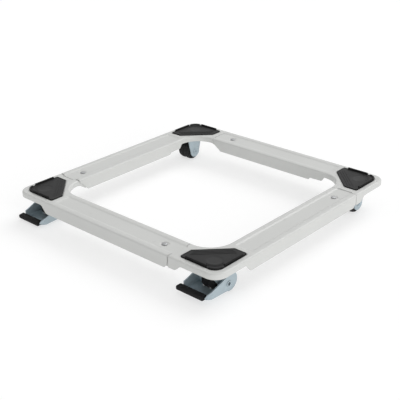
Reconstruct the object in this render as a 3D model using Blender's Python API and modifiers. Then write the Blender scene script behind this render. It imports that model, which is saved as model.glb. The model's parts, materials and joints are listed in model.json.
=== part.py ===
# Appliance roller base: a square telescoping frame of four equal pressed steel
# corners on four fixed casters, the front two with brake pedals.
# The frame stands closed, at its smallest size. Every corner slides its inner arm
# in the outer arm of its neighbour, so the square grows along X and along Y.
# World: metres, +Z up, the origin on the floor in the middle of the whole part,
# the pedals towards -Y.

import bpy
import bmesh
from math import cos, pi, radians, sin, sqrt
from mathutils import Matrix, Vector
from mathutils.geometry import tessellate_polygon

# Frame
FRAME_SIDE = 0.4662
PLATE_TOP = 0.0544
SHEET = 0.0016
ARM_WIDTH = 0.0532
BEND_RADIUS = 0.003
CORNER_RADIUS = 0.022
INNER_FILLET = 0.042
SKIRT_DEPTH = 0.0096
ARM_WALL_DEPTH = 0.0225
RAIL_WALL_DEPTH = 0.0195
WALL_MIDDLE_DEPTH = 0.0145

# Where the skirt swells to the full wall, measured back from the inner fillet's end
ARM_SWELL_LEAD = 0.0312
RAIL_SWELL_LEAD = 0.0252
SWELL_LENGTH = 0.0155
INNER_SWELL_LENGTH = 0.0080
INNER_SHALLOW_DEPTH = 0.0180
INNER_SHALLOW_LENGTH = 0.0240
INNER_STEP_LENGTH = 0.0040

# Sunk band along the top of the arms
RIM_WIDTH = 0.0090
BAND_SLOPE = 0.0040
BAND_DEPTH = 0.0012
BAND_TO_PAD = 0.0080
ROW_STEP = 0.0006

# Seam between an outer arm and the neighbour's corner
SEAM_TO_FILLET = 0.0004
SEAM_GAP = 0.0008
SEAM_TONGUE = 0.0035
JOGGLE_LENGTH = 0.0024
OUTER_END_CUT = 0.0095
OUTER_END_MIDDLE_CUT = 0.0014
INNER_END_CUT = 0.0190
INNER_END_MIDDLE_CUT = 0.0120
END_TAPER_LENGTH = 0.0300

# Sliding fit, slot and clamp screw
SLIDE_CLEARANCE = 0.0004
RAIL_END_INSET = 0.1176
SCREW_INSET = 0.0303
SLOT_WIDTH = 0.0062
SLOT_END_BAND = 0.0110
DIMPLE_RADIUS = 0.0083
DIMPLE_FLOOR_RADIUS = 0.0056
DIMPLE_DEPTH = 0.0008
SCREW_HEAD_RADIUS = 0.0046
SCREW_HEAD_HEIGHT = 0.0021
SCREW_RADIUS = 0.0024
SCREW_TAIL = 0.0012
DRIVE_LENGTH = 0.0050
DRIVE_WIDTH = 0.0011
DRIVE_DEPTH = 0.0012
NUT_SIDE = 0.0100
NUT_HEIGHT = 0.0035

# Pad and its pocket
PAD_MARGIN = 0.0111
PAD_OVER_ARM = 0.0176
PAD_SLANT_CLEARANCE = 0.0099
PAD_CORNER_RADIUS = 0.0150
PAD_EDGE_RADIUS = 0.0020
PAD_HEIGHT = 0.0022
PAD_RIM_WIDTH = 0.0014
PAD_RIM_HEIGHT = 0.0005
POCKET_DEPTH = 0.0012
POCKET_SLOPE = 0.0012
POCKET_GAP = 0.0005
LIP_START = 0.0190
LIP_END_MARGIN = 0.0088
LIP_THICKNESS = 0.0026
LIP_HEIGHT = 0.0036
CORNER_WALL_HEIGHT = 0.0030
CORNER_WALL_THICKNESS = 0.0022
PAD_RIB_WIDTH = 0.0010
PAD_RIB_HEIGHT = 0.0005
PAD_RIB_PITCH = 0.0042
PAD_DISH_MARGIN = 0.0090
PAD_DISH_DEPTH = 0.0006

# Caster
WHEEL_RADIUS = 0.0180
TREAD_WIDTH = 0.0266
TREAD_GROOVE_WIDTH = 0.0030
TREAD_GROOVE_DEPTH = 0.0016
TREAD_CROWN = 0.0011
TYRE_INNER_RADIUS = 0.0125
CORE_RIM_WALL = 0.0018
CORE_WEB_INSET = 0.0042
HUB_RADIUS = 0.0062
HUB_LENGTH = 0.0298
AXLE_RADIUS = 0.0038
AXLE_HEAD_RADIUS = 0.0050
AXLE_HEAD_HEIGHT = 0.0012
AXLE_HOLLOW_RADIUS = 0.0029
AXLE_HOLLOW_DEPTH = 0.0040
FORK_SHEET = 0.0020
FORK_WIDTH = 0.0350
FORK_BEND_RADIUS = 0.0035
FORK_REACH = 0.0185
FORK_FRONT_REACH = 0.0270
FORK_EDGE_HEIGHT = 0.0060
FORK_FRONT_EDGE_HEIGHT = 0.0133
FORK_EYE_RADIUS = 0.0125
RIVET_SPREAD = 0.0130
RIVET_RADIUS = 0.0022
RIVET_HEAD_RADIUS = 0.0038
RIVET_HEAD_HEIGHT = 0.0009
LEFT_CASTER_INSET_X = 0.0385
RIGHT_CASTER_INSET_X = 0.0427
FRONT_CASTER_INSET_Y = 0.0451
REAR_CASTER_INSET_X = 0.0361
REAR_CASTER_PAST_ARM = 0.0045

# Brake pedal, measured from the axle
PEDAL_WIDTH = 0.0544
PEDAL_SHEET = 0.0020
PEDAL_BEND_RADIUS = 0.0028
PEDAL_REACH = 0.0531
PEDAL_ROUND_RADIUS = 0.0156
PEDAL_ROUND_BACK = 0.0034
PEDAL_ROUND_RISE = 0.0026
PEDAL_PLATE_START = 0.0160
FLANGE_START = 0.0010
FLANGE_WIDTH = 0.0060
SLEEVE_RADIUS = 0.0058
GRIP_WIDTH = 0.0538
GRIP_SHIFT = 0.0059
GRIP_BACK = 0.0412
GRIP_TOP_DROP = 0.0022
GRIP_BOTTOM_DROP = 0.0095
GRIP_ROUNDING = 0.0024
TONGUE_LENGTH = 0.0060
TONGUE_INSET = 0.0060
TONGUE_RISE = 0.0014

# Corners of a pedal cheek as shares of the pedal's reach and of its round end's radius
CHEEK_TOP_SHARES = ((-0.900, 0.051), (-0.678, 0.199), (-0.377, 0.506))
CHEEK_TIP_SHARES = (-0.974, -0.179)
PLATE_LINE_SHARES = ((-0.706, -0.712), (-0.819, -0.577), (-0.919, -0.410))
CHEEK_ROUND_ANGLES = (70, -92.5)

# How far each pedal's front stands turned down, in degrees
PEDAL_TILTS = {"front_left": 6.0, "front_right": 0.0}

# Fits and counts
GAP = 0.0003
OVERRUN = 0.0050
WELD = 0.00001
BEND_STEPS = 2
ROUND_STEPS = 6
EYE_STEPS = 7
SWELL_STEPS = 4
TURN_STEPS = 24
SMALL_TURN_STEPS = 12
RIB_COUNT = 3
SMOOTH_ANGLE = 35

# Derived places
HALF_SIDE = FRAME_SIDE / 2
NEST = SHEET + SLIDE_CLEARANCE
FILLET_END = ARM_WIDTH + INNER_FILLET
PAD_SIDE = ARM_WIDTH + PAD_OVER_ARM
SLANT_SUM = 2 * FILLET_END - (INNER_FILLET + PAD_SLANT_CLEARANCE) * sqrt(2)
PAD_SHORT_SIDE = SLANT_SUM - 2 * PAD_MARGIN - PAD_SIDE
PAD_DISH_RADIUS = PAD_SHORT_SIDE - PAD_DISH_MARGIN
LIP_LENGTH = PAD_SIDE - LIP_START - LIP_END_MARGIN
BAND_END = PAD_MARGIN + PAD_SIDE + BAND_TO_PAD
ARM_START = max(FILLET_END, BAND_END + BAND_SLOPE) + ROW_STEP
ARM_SWELL_START = FILLET_END - ARM_SWELL_LEAD
RAIL_SWELL_START = FILLET_END - RAIL_SWELL_LEAD
SEAM_INSET = FILLET_END + SEAM_TO_FILLET + JOGGLE_LENGTH + SEAM_GAP
ARM_END = FRAME_SIDE - SEAM_INSET
SCREW_ALONG = ARM_END - SCREW_INSET
SCREW_ON_RAIL = FRAME_SIDE - SCREW_ALONG
RAIL_END = FRAME_SIDE - RAIL_END_INSET
SLOT_END = RAIL_END - SLOT_END_BAND
AXLE_HEIGHT = WHEEL_RADIUS
REAR_CASTER_INSET_Y = ARM_WIDTH + REAR_CASTER_PAST_ARM
FORK_TOP = PLATE_TOP - POCKET_DEPTH - SHEET - GAP
FRONT_REACH = HALF_SIDE - FRONT_CASTER_INSET_Y + PEDAL_REACH
FRAME_Y = (FRONT_REACH - HALF_SIDE) / 2

CORNERS = ("front_left", "front_right", "back_right", "back_left")
CORNER_SIDES = {
    "front_left": (-1, -1),
    "front_right": (1, -1),
    "back_right": (1, 1),
    "back_left": (-1, 1),
}

FINISHES = {
    "frame_paint": ((0.60, 0.60, 0.585), 0.45, 0.0),
    "pad_rubber": ((0.030, 0.030, 0.031), 0.70, 0.0),
    "zinc": ((0.60, 0.66, 0.69), 0.35, 1.0),
    "screw_steel": ((0.55, 0.56, 0.56), 0.35, 1.0),
    "wheel_plastic": ((0.025, 0.025, 0.027), 0.50, 0.0),
    "tyre_rubber": ((0.018, 0.018, 0.019), 0.75, 0.0),
    "grip_rubber": ((0.012, 0.012, 0.013), 0.60, 0.0),
}


def clear_scene():
    """Remove the objects of the scene."""
    for old in list(bpy.data.objects):
        bpy.data.objects.remove(old)


def make_collection(name):
    """Return a new collection linked to the scene."""
    made = bpy.data.collections.new(name)
    bpy.context.scene.collection.children.link(made)
    return made


def make_material(name, colour, roughness, metallic):
    """Return a plain Principled material."""
    material = bpy.data.materials.new(name)
    material.use_nodes = True
    shader = material.node_tree.nodes["Principled BSDF"]
    shader.inputs["Base Color"].default_value = (*colour, 1)
    shader.inputs["Roughness"].default_value = roughness
    shader.inputs["Metallic"].default_value = metallic
    return material


class Sheet:
    """An open surface that is gathered face by face and then welded."""

    def __init__(self):
        self.bm = bmesh.new()

    def add(self, points):
        """Return new vertices at the points."""
        return [self.bm.verts.new(point) for point in points]

    def grid(self, rows):
        """Join rows of equally many points with four-sided faces."""
        made = [self.add(row) for row in rows]
        for low, high in zip(made, made[1:]):
            for left in range(len(low) - 1):
                self.bm.faces.new((low[left], low[left + 1], high[left + 1], high[left]))

    def ring(self, outer, inner):
        """Join two closed loops of equally many points."""
        self.grid((list(outer) + [outer[0]], list(inner) + [inner[0]]))

    def fill(self, *loops):
        """Fill a flat outline, whose further loops are holes."""
        vectors = [[Vector(point) for point in loop] for loop in loops]
        made = self.add([point for loop in vectors for point in loop])
        faces = [self.bm.faces.new([made[index] for index in triangle])
                 for triangle in tessellate_polygon(vectors)]
        shared = {edge for face in faces for edge in face.edges if len(edge.link_faces) == 2}
        bmesh.ops.beautify_fill(self.bm, faces=faces, edges=list(shared), method="AREA")

    def mesh(self, name, outward):
        """Weld the faces, turn them towards the outward vector and return the mesh."""
        bmesh.ops.remove_doubles(self.bm, verts=self.bm.verts, dist=WELD)
        bmesh.ops.dissolve_degenerate(self.bm, edges=self.bm.edges, dist=WELD)
        bmesh.ops.recalc_face_normals(self.bm, faces=self.bm.faces)
        facing = sum(face.normal.dot(outward) * face.calc_area() for face in self.bm.faces)
        if facing < 0:
            bmesh.ops.reverse_faces(self.bm, faces=self.bm.faces)
        made = bpy.data.meshes.new(name)
        self.bm.to_mesh(made)
        self.bm.free()
        return made


def arc(centre, radius, start, end, steps):
    """Return points on an arc in a plane, its angles in degrees."""
    angles = [radians(start + (end - start) * step / steps) for step in range(steps + 1)]
    return [(centre[0] + radius * cos(angle), centre[1] + radius * sin(angle)) for angle in angles]


def grown(outline, distance):
    """Return a convex outline that runs anticlockwise with its sides moved outwards."""
    count = len(outline)
    lines = []
    for index in range(count):
        start = Vector(outline[index])
        along = (Vector(outline[(index + 1) % count]) - start).normalized()
        outwards = Vector((along.y, -along.x))
        lines.append((start + outwards * distance, along))
    moved = []
    for index in range(count):
        here, along = lines[index]
        before, behind = lines[index - 1]
        cross = along.x * behind.y - along.y * behind.x
        offset = before - here
        reach = (offset.x * behind.y - offset.y * behind.x) / cross
        moved.append(tuple(here + along * reach))
    return moved


def rounded(outline, rounds):
    """Return a convex outline with a round of its own radius and steps at each corner."""
    count = len(outline)
    points = []
    for index in range(count):
        corner = Vector(outline[index])
        back = (Vector(outline[index - 1]) - corner).normalized()
        ahead = (Vector(outline[(index + 1) % count]) - corner).normalized()
        half = back.angle(ahead) / 2
        radius, steps = rounds[index]
        middle = corner + (back + ahead).normalized() * radius / sin(half)
        start = corner + back * radius * cos(half) / sin(half) - middle
        turn = pi - 2 * half
        for step in range(steps + 1):
            points.append(tuple(middle + Matrix.Rotation(turn * step / steps, 2) @ start))
    return points


def at_height(outline, height):
    """Return plane points as space points at one height."""
    return [(point[0], point[1], height) for point in outline]


class Workshop:
    """Makes the objects of the part in its collections."""

    def __init__(self):
        self.parts = make_collection("appliance_roller_base")
        self.cutters = make_collection("cutters")
        self.materials = {name: make_material(name, *finish) for name, finish in FINISHES.items()}

    def place(self, name, mesh, finish, parent=None, location=(0, 0, 0)):
        """Return a new piece of the part under its parent."""
        piece = bpy.data.objects.new(name, mesh)
        self.parts.objects.link(piece)
        piece.parent = parent
        piece.location = location
        if not mesh.materials:
            mesh.materials.append(self.materials[finish])
        mesh.shade_smooth()
        mesh.set_sharp_from_angle(angle=radians(SMOOTH_ANGLE))
        return piece

    def stand(self, name, location, turn=0, tilt=0):
        """Return an empty that carries pieces, turned about Z and tilted about X."""
        carrier = bpy.data.objects.new(name, None)
        self.parts.objects.link(carrier)
        carrier.location = location
        carrier.rotation_euler = (tilt, 0, turn)
        return carrier

    def cutter(self, name, mesh, parent=None, location=(0, 0, 0)):
        """Return an object that only cuts or joins."""
        tool = bpy.data.objects.new(name, mesh)
        self.cutters.objects.link(tool)
        tool.parent = parent
        tool.location = location
        tool.hide_render = True
        tool.display_type = "WIRE"
        return tool


def thicken(piece, thickness):
    """Give an open surface its wall, inwards."""
    wall = piece.modifiers.new("wall", "SOLIDIFY")
    wall.thickness = thickness
    wall.offset = -1
    wall.use_even_offset = True
    wall.use_quality_normals = True


def combine(piece, tool, operation):
    """Cut the tool from the piece or join it to the piece."""
    step = piece.modifiers.new(operation.lower(), "BOOLEAN")
    step.operation = operation
    step.object = tool
    step.solver = "EXACT"


def box_mesh(name, low, high):
    """Return a box between two corners."""
    bm = bmesh.new()
    bmesh.ops.create_cube(bm, size=1)
    size = Vector(high) - Vector(low)
    middle = (Vector(high) + Vector(low)) / 2
    for vertex in bm.verts:
        vertex.co = middle + Vector((vertex.co.x * size.x, vertex.co.y * size.y, vertex.co.z * size.z))
    made = bpy.data.meshes.new(name)
    bm.to_mesh(made)
    bm.free()
    return made


def cone_mesh(name, lower_radius, upper_radius, low, high, steps, centre=(0, 0)):
    """Return an upright cone or cylinder between two heights."""
    bm = bmesh.new()
    middle = Matrix.Translation((centre[0], centre[1], (low + high) / 2))
    bmesh.ops.create_cone(bm, cap_ends=True, segments=steps, radius1=lower_radius,
                          radius2=upper_radius, depth=high - low, matrix=middle)
    made = bpy.data.meshes.new(name)
    bm.to_mesh(made)
    bm.free()
    return made


def gathered(name, meshes):
    """Return several separate bodies as one mesh."""
    bm = bmesh.new()
    for mesh in meshes:
        bm.from_mesh(mesh)
    made = bpy.data.meshes.new(name)
    bm.to_mesh(made)
    bm.free()
    return made


def prism_mesh(name, outline, low, high):
    """Return a flat outline raised between two heights."""
    bm = bmesh.new()
    floor = [bm.verts.new(point) for point in at_height(outline, low)]
    roof = [bm.verts.new(point) for point in at_height(outline, high)]
    count = len(outline)
    for index in range(count):
        after = (index + 1) % count
        bm.faces.new((floor[index], floor[after], roof[after], roof[index]))
    bm.faces.new(floor)
    bm.faces.new(roof)
    bmesh.ops.recalc_face_normals(bm, faces=bm.faces)
    made = bpy.data.meshes.new(name)
    bm.to_mesh(made)
    bm.free()
    return made


def turned(piece, steps):
    """Turn the piece's profile round its own Z axis."""
    turn = piece.modifiers.new("turn", "SCREW")
    turn.axis = "Z"
    turn.angle = 2 * pi
    turn.screw_offset = 0
    turn.steps = steps
    turn.render_steps = steps
    turn.use_merge_vertices = True
    turn.merge_threshold = WELD


def profile_mesh(name, profile, closed):
    """Return a chain of edges from points of radius and height, top to bottom."""
    points = [(radius, 0, height) for radius, height in profile]
    edges = [(index, index + 1) for index in range(len(points) - 1)]
    if closed:
        edges.append((len(points) - 1, 0))
    made = bpy.data.meshes.new(name)
    made.from_pydata(points, edges, [])
    return made


def lay_along_x(piece):
    """Turn a piece whose axis is Z so that its axis is X."""
    piece.rotation_euler.y = pi / 2


def swell(share):
    """Return a smooth step from 0 to 1."""
    held = min(max(share, 0), 1)
    return held * held * (3 - 2 * held)


def between(low, high, share):
    """Return the value at a share of the way from low to high."""
    return low + (high - low) * share


# Pressed corner. Its frame has the outer corner at the origin, P along the outer arm
# and Q along the inner arm. Depths are below the top of the plate.

def arm_section(inset, drop, sunk, outer_depth, inner_depth):
    """Return the points across an arm as (place across, height), outer edge first."""
    radius = BEND_RADIUS
    level = PLATE_TOP - drop
    inner_face = ARM_WIDTH - inset
    band_start = RIM_WIDTH + BAND_SLOPE
    outer_bend = arc((inset + radius, level - radius), radius, 180, 90, BEND_STEPS)
    inner_bend = arc((inner_face - radius, level - radius), radius, 90, 0, BEND_STEPS)
    points = [(inset, PLATE_TOP - outer_depth)]
    points.append((inset, PLATE_TOP - min(WALL_MIDDLE_DEPTH, (outer_depth + BEND_RADIUS + drop) / 2)))
    points += outer_bend
    points.append((RIM_WIDTH, level))
    points.append((band_start, level - sunk))
    points.append((ARM_WIDTH - band_start, level - sunk))
    points.append((ARM_WIDTH - RIM_WIDTH, level))
    points += inner_bend
    points.append((inner_face, PLATE_TOP - min(WALL_MIDDLE_DEPTH, (inner_depth + BEND_RADIUS + drop) / 2)))
    points.append((inner_face, PLATE_TOP - inner_depth))
    return points


def arm_shifts(outer_cut, outer_middle_cut, tongue, inner_middle_cut, inner_cut):
    """Return how far each point of a section stands off the section's own place."""
    bend = [0] * (BEND_STEPS + 1)
    shifts = [-outer_cut, -outer_middle_cut] + bend
    shifts += [0, tongue, tongue, 0]
    return shifts + bend + [-inner_middle_cut, -inner_cut]


def arm_row(place, section, shifts=None):
    """Return a row of points of the outer arm."""
    shifts = shifts or [0] * len(section)
    return [(place + shift, across, height) for (across, height), shift in zip(section, shifts)]


def rail_row(place, section, shifts=None):
    """Return a row of points of the inner arm."""
    return [(across, along, height) for along, across, height in arm_row(place, section, shifts)]


def inner_wall_depth(place):
    """Return the depth of the outer arm's inner wall at a place along it."""
    first = swell((place - ARM_START) / INNER_SWELL_LENGTH)
    step_start = ARM_START + INNER_SWELL_LENGTH + INNER_SHALLOW_LENGTH
    second = swell((place - step_start) / INNER_STEP_LENGTH)
    shallow = between(SKIRT_DEPTH, INNER_SHALLOW_DEPTH, first)
    return shallow + (ARM_WALL_DEPTH - INNER_SHALLOW_DEPTH) * second


def outer_arm_rows():
    """Return the rows of the outer arm from the corner to its open end."""
    step_start = ARM_START + INNER_SWELL_LENGTH + INNER_SHALLOW_LENGTH
    places = [ARM_START + INNER_SWELL_LENGTH * step / SWELL_STEPS for step in range(SWELL_STEPS + 1)]
    places += [step_start, step_start + INNER_STEP_LENGTH, ARM_END - END_TAPER_LENGTH]
    rows = [arm_row(place, arm_section(0, 0, BAND_DEPTH, ARM_WALL_DEPTH, inner_wall_depth(place)))
            for place in places]
    cuts = arm_shifts(OUTER_END_CUT, OUTER_END_MIDDLE_CUT, SEAM_TONGUE, INNER_END_MIDDLE_CUT, INNER_END_CUT)
    rows.append(arm_row(ARM_END, arm_section(0, 0, BAND_DEPTH, ARM_WALL_DEPTH, ARM_WALL_DEPTH), cuts))
    return rows


def inner_arm_rows():
    """Return the rows of the inner arm: full section, step down, then the long rail."""
    seam = SEAM_INSET - SEAM_GAP
    back = arm_shifts(0, 0, -SEAM_TONGUE, 0, 0)
    full = arm_section(0, 0, 0, RAIL_WALL_DEPTH, SKIRT_DEPTH)
    rows = [rail_row(seam - JOGGLE_LENGTH, full, back)]
    nested = arm_section(NEST, NEST, BAND_DEPTH, RAIL_WALL_DEPTH, SKIRT_DEPTH + NEST)
    rows.append(rail_row(seam, nested, back))
    deep = arm_section(NEST, NEST, BAND_DEPTH, RAIL_WALL_DEPTH, RAIL_WALL_DEPTH)
    rows.append(rail_row(seam + SWELL_LENGTH, deep))
    rows.append(rail_row(RAIL_END, deep))
    return rows


def skirt_column(foot, inward, depth):
    """Return the points of the skirt at one place, lower edge first."""
    radius = BEND_RADIUS
    middle_depth = min(WALL_MIDDLE_DEPTH, (depth + BEND_RADIUS) / 2)
    heights = [(0, PLATE_TOP - depth), (0, PLATE_TOP - middle_depth)]
    heights += arc((radius, PLATE_TOP - radius), radius, 180, 90, BEND_STEPS)
    return [(foot[0] + inward[0] * across, foot[1] + inward[1] * across, height)
            for across, height in heights]


def outer_skirt_columns():
    """Return the columns of the outer skirt from the outer arm round to the inner arm."""
    columns = []
    marks = [ARM_SWELL_START + SWELL_LENGTH * step / SWELL_STEPS for step in range(SWELL_STEPS + 1)]
    for place in [ARM_START] + marks[::-1]:
        depth = between(SKIRT_DEPTH, ARM_WALL_DEPTH, swell((place - ARM_SWELL_START) / SWELL_LENGTH))
        columns.append(skirt_column((place, 0), (0, 1), depth))
    middle = (CORNER_RADIUS, CORNER_RADIUS)
    for foot in arc(middle, CORNER_RADIUS, 270, 180, ROUND_STEPS):
        inward = Vector(middle) - Vector(foot)
        columns.append(skirt_column(foot, inward.normalized(), SKIRT_DEPTH))
    marks = [RAIL_SWELL_START + SWELL_LENGTH * step / SWELL_STEPS for step in range(SWELL_STEPS + 1)]
    for place in marks + [SEAM_INSET - SEAM_GAP - JOGGLE_LENGTH]:
        depth = between(SKIRT_DEPTH, RAIL_WALL_DEPTH, swell((place - RAIL_SWELL_START) / SWELL_LENGTH))
        columns.append(skirt_column((0, place), (1, 0), depth))
    return columns


def inner_skirt_columns():
    """Return the columns of the inner skirt from the inner arm round to the outer arm."""
    middle = (FILLET_END, FILLET_END)
    columns = [skirt_column((ARM_WIDTH, SEAM_INSET - SEAM_GAP - JOGGLE_LENGTH), (-1, 0), SKIRT_DEPTH)]
    for foot in arc(middle, INNER_FILLET, 180, 270, ROUND_STEPS):
        outward = (Vector(foot) - Vector(middle)).normalized()
        columns.append(skirt_column(foot, outward, SKIRT_DEPTH))
    columns.append(skirt_column((ARM_START, ARM_WIDTH), (0, -1), SKIRT_DEPTH))
    return columns


def band_end():
    """Return the two outlines of the sunk band's closed end, each from the outer rim round."""
    crest = [(ARM_START, RIM_WIDTH), (BAND_END, RIM_WIDTH)]
    crest += [(BAND_END, ARM_WIDTH - RIM_WIDTH), (ARM_START, ARM_WIDTH - RIM_WIDTH)]
    start = RIM_WIDTH + BAND_SLOPE
    floor = [(ARM_START, start), (BAND_END + BAND_SLOPE, start)]
    floor += [(BAND_END + BAND_SLOPE, ARM_WIDTH - start), (ARM_START, ARM_WIDTH - start)]
    return crest, floor


def pad_outline():
    """Return the five corners of the pad, anticlockwise from the outer corner."""
    near = PAD_MARGIN
    far = PAD_MARGIN + PAD_SIDE
    cut = PAD_MARGIN + PAD_SHORT_SIDE
    return [(near, near), (far, near), (far, cut), (cut, far), (near, far)]


def pad_loop(distance):
    """Return the pad's rounded outline moved outwards by a distance."""
    rounds = [(PAD_CORNER_RADIUS + distance, ROUND_STEPS)]
    rounds += [(PAD_EDGE_RADIUS + distance, BEND_STEPS)] * 4
    return rounded(grown(pad_outline(), distance), rounds)


def plate_outline(outer, inner, crest, seam_row):
    """Return the outline of the flat top of the corner, anticlockwise."""
    points = [(crest_point[0], crest_point[1], PLATE_TOP) for crest_point in crest]
    points += [column[-1] for column in reversed(inner)]
    bend = BEND_STEPS + 2
    across_seam = seam_row[bend:-bend]
    points += list(reversed(across_seam))[1:-1]
    points += [column[-1] for column in reversed(outer)]
    return points


def corner_mesh():
    """Return the open surface of one pressed corner."""
    sheet = Sheet()
    outer = outer_skirt_columns()
    inner = inner_skirt_columns()
    arm = outer_arm_rows()
    rail = inner_arm_rows()
    crest, floor = band_end()
    sheet.grid(outer)
    sheet.grid(inner)
    sheet.grid(arm)
    sheet.grid(rail)
    sheet.grid((at_height(crest, PLATE_TOP), at_height(floor, PLATE_TOP - BAND_DEPTH)))
    sheet.fill(at_height(floor, PLATE_TOP - BAND_DEPTH))
    brim = at_height(pad_loop(POCKET_GAP + POCKET_SLOPE), PLATE_TOP)
    base = at_height(pad_loop(POCKET_GAP), PLATE_TOP - POCKET_DEPTH)
    sheet.ring(brim, base)
    sheet.fill(base)
    sheet.fill(plate_outline(outer, inner, crest, rail[0]), brim)
    return sheet.mesh("corner_sheet", Vector((0, 0, 1)))


def slot_outline():
    """Return the outline of the slot in the inner arm."""
    middle = ARM_WIDTH / 2
    half = SLOT_WIDTH / 2
    near = arc((middle, SCREW_ON_RAIL), half, 180, 360, ROUND_STEPS)
    far = arc((middle, SLOT_END - half), half, 0, 180, ROUND_STEPS)
    return near + far


def build_corner(shop, name, carrier, rivets):
    """Make the pressed corner with its slot, dimple, screw hole and rivet holes."""
    piece = shop.place("corner_frame_" + name, corner_mesh(), "frame_paint", carrier)
    thicken(piece, SHEET)
    band_top = PLATE_TOP - BAND_DEPTH
    middle = (SCREW_ALONG, ARM_WIDTH / 2)
    mouth = 2 * DIMPLE_RADIUS - DIMPLE_FLOOR_RADIUS
    dimple = cone_mesh("dimple", DIMPLE_FLOOR_RADIUS, mouth, band_top - DIMPLE_DEPTH,
                       band_top + DIMPLE_DEPTH, TURN_STEPS, middle)
    combine(piece, shop.cutter("dimple_" + name, dimple, carrier), "DIFFERENCE")
    low = PLATE_TOP - OVERRUN
    high = PLATE_TOP + OVERRUN
    holes = [prism_mesh("slot", slot_outline(), low, high)]
    holes.append(cone_mesh("screw_hole", SCREW_RADIUS + GAP, SCREW_RADIUS + GAP, low, high,
                           SMALL_TURN_STEPS, middle))
    for spot in rivets:
        holes.append(cone_mesh("rivet_hole", RIVET_RADIUS + GAP, RIVET_RADIUS + GAP, low, high,
                               SMALL_TURN_STEPS, spot))
    tool = shop.cutter("frame_holes_" + name, gathered("frame_holes", holes), carrier)
    combine(piece, tool, "DIFFERENCE")


def lip_boxes():
    """Return the low and high corners of the pad's two lips."""
    base = PLATE_TOP - POCKET_DEPTH + 2 * GAP
    top = PLATE_TOP - POCKET_DEPTH + GAP + PAD_HEIGHT + LIP_HEIGHT
    near = PAD_MARGIN + WELD
    start = PAD_MARGIN + LIP_START
    boxes = [((start, near, base), (start + LIP_LENGTH, near + LIP_THICKNESS, top))]
    boxes.append(((near, start, base), (near + LIP_THICKNESS, start + LIP_LENGTH, top)))
    return boxes


def corner_wall_outline():
    """Return the outline of the wall round the pad's outer corner."""
    middle = (PAD_MARGIN + PAD_CORNER_RADIUS, PAD_MARGIN + PAD_CORNER_RADIUS)
    outer = arc(middle, PAD_CORNER_RADIUS - WELD, 180, 270, ROUND_STEPS)
    inner = arc(middle, PAD_CORNER_RADIUS - CORNER_WALL_THICKNESS, 270, 180, ROUND_STEPS)
    return outer + inner


def pad_rib_outlines():
    """Return the outlines of the ribs along the pad's slanted side."""
    long_corner = PAD_MARGIN + PAD_SIDE
    short_corner = PAD_MARGIN + PAD_SHORT_SIDE
    start = Vector((long_corner, short_corner))
    end = Vector((short_corner, long_corner))
    inward = Vector((-1, -1)).normalized()
    along = (end - start).normalized()
    outlines = []
    for index in range(RIB_COUNT):
        offset = inward * (PAD_RIM_WIDTH + PAD_RIB_PITCH * (index + 1))
        trim = along * PAD_RIB_PITCH * (1 - index) / 2
        near = start + offset + trim
        far = end + offset - trim
        across = inward * PAD_RIB_WIDTH
        outlines.append([tuple(near), tuple(far), tuple(far + across), tuple(near + across)])
    return outlines


def build_pad(shop, name, carrier, rivets):
    """Make the rubber pad with its rim, lips, corner wall, ribs and dish."""
    bottom = PLATE_TOP - POCKET_DEPTH + GAP
    top = bottom + PAD_HEIGHT
    sheet = Sheet()
    rim_top = top + PAD_RIM_HEIGHT
    outside = pad_loop(0)
    inside = pad_loop(-PAD_RIM_WIDTH)
    sheet.fill(at_height(outside, bottom))
    sheet.ring(at_height(outside, bottom), at_height(outside, rim_top))
    sheet.ring(at_height(outside, rim_top), at_height(inside, rim_top))
    sheet.ring(at_height(inside, rim_top), at_height(inside, top))
    sheet.fill(at_height(inside, top))
    piece = shop.place("pad_" + name, sheet.mesh("pad_body", Vector((0, 0, 0))), "pad_rubber", carrier)
    for index, (low, high) in enumerate(lip_boxes()):
        tool = shop.cutter(f"lip_{name}_{index}", box_mesh("lip", low, high), carrier)
        combine(piece, tool, "UNION")
    wall = prism_mesh("corner_wall", corner_wall_outline(), bottom + GAP, top + CORNER_WALL_HEIGHT)
    combine(piece, shop.cutter("corner_wall_" + name, wall, carrier), "UNION")
    for index, outline in enumerate(pad_rib_outlines()):
        rib = prism_mesh("pad_rib", outline, bottom + GAP, top + PAD_RIB_HEIGHT)
        combine(piece, shop.cutter(f"pad_rib_{name}_{index}", rib, carrier), "UNION")
    centre = PAD_MARGIN + PAD_SHORT_SIDE
    dish = cone_mesh("dish", PAD_DISH_RADIUS - PAD_DISH_DEPTH, PAD_DISH_RADIUS, top - PAD_DISH_DEPTH,
                     top + PAD_RIB_HEIGHT / 2, TURN_STEPS, (centre, centre))
    combine(piece, shop.cutter("dish_" + name, dish, carrier), "DIFFERENCE")
    rooms = []
    for spot in rivets:
        radius = RIVET_HEAD_RADIUS + GAP
        rooms.append(cone_mesh("rivet_room", radius, radius, bottom - OVERRUN,
                               bottom + RIVET_HEAD_HEIGHT, SMALL_TURN_STEPS, spot))
    tool = shop.cutter("rivet_rooms_" + name, gathered("rivet_rooms", rooms), carrier)
    combine(piece, tool, "DIFFERENCE")


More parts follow.
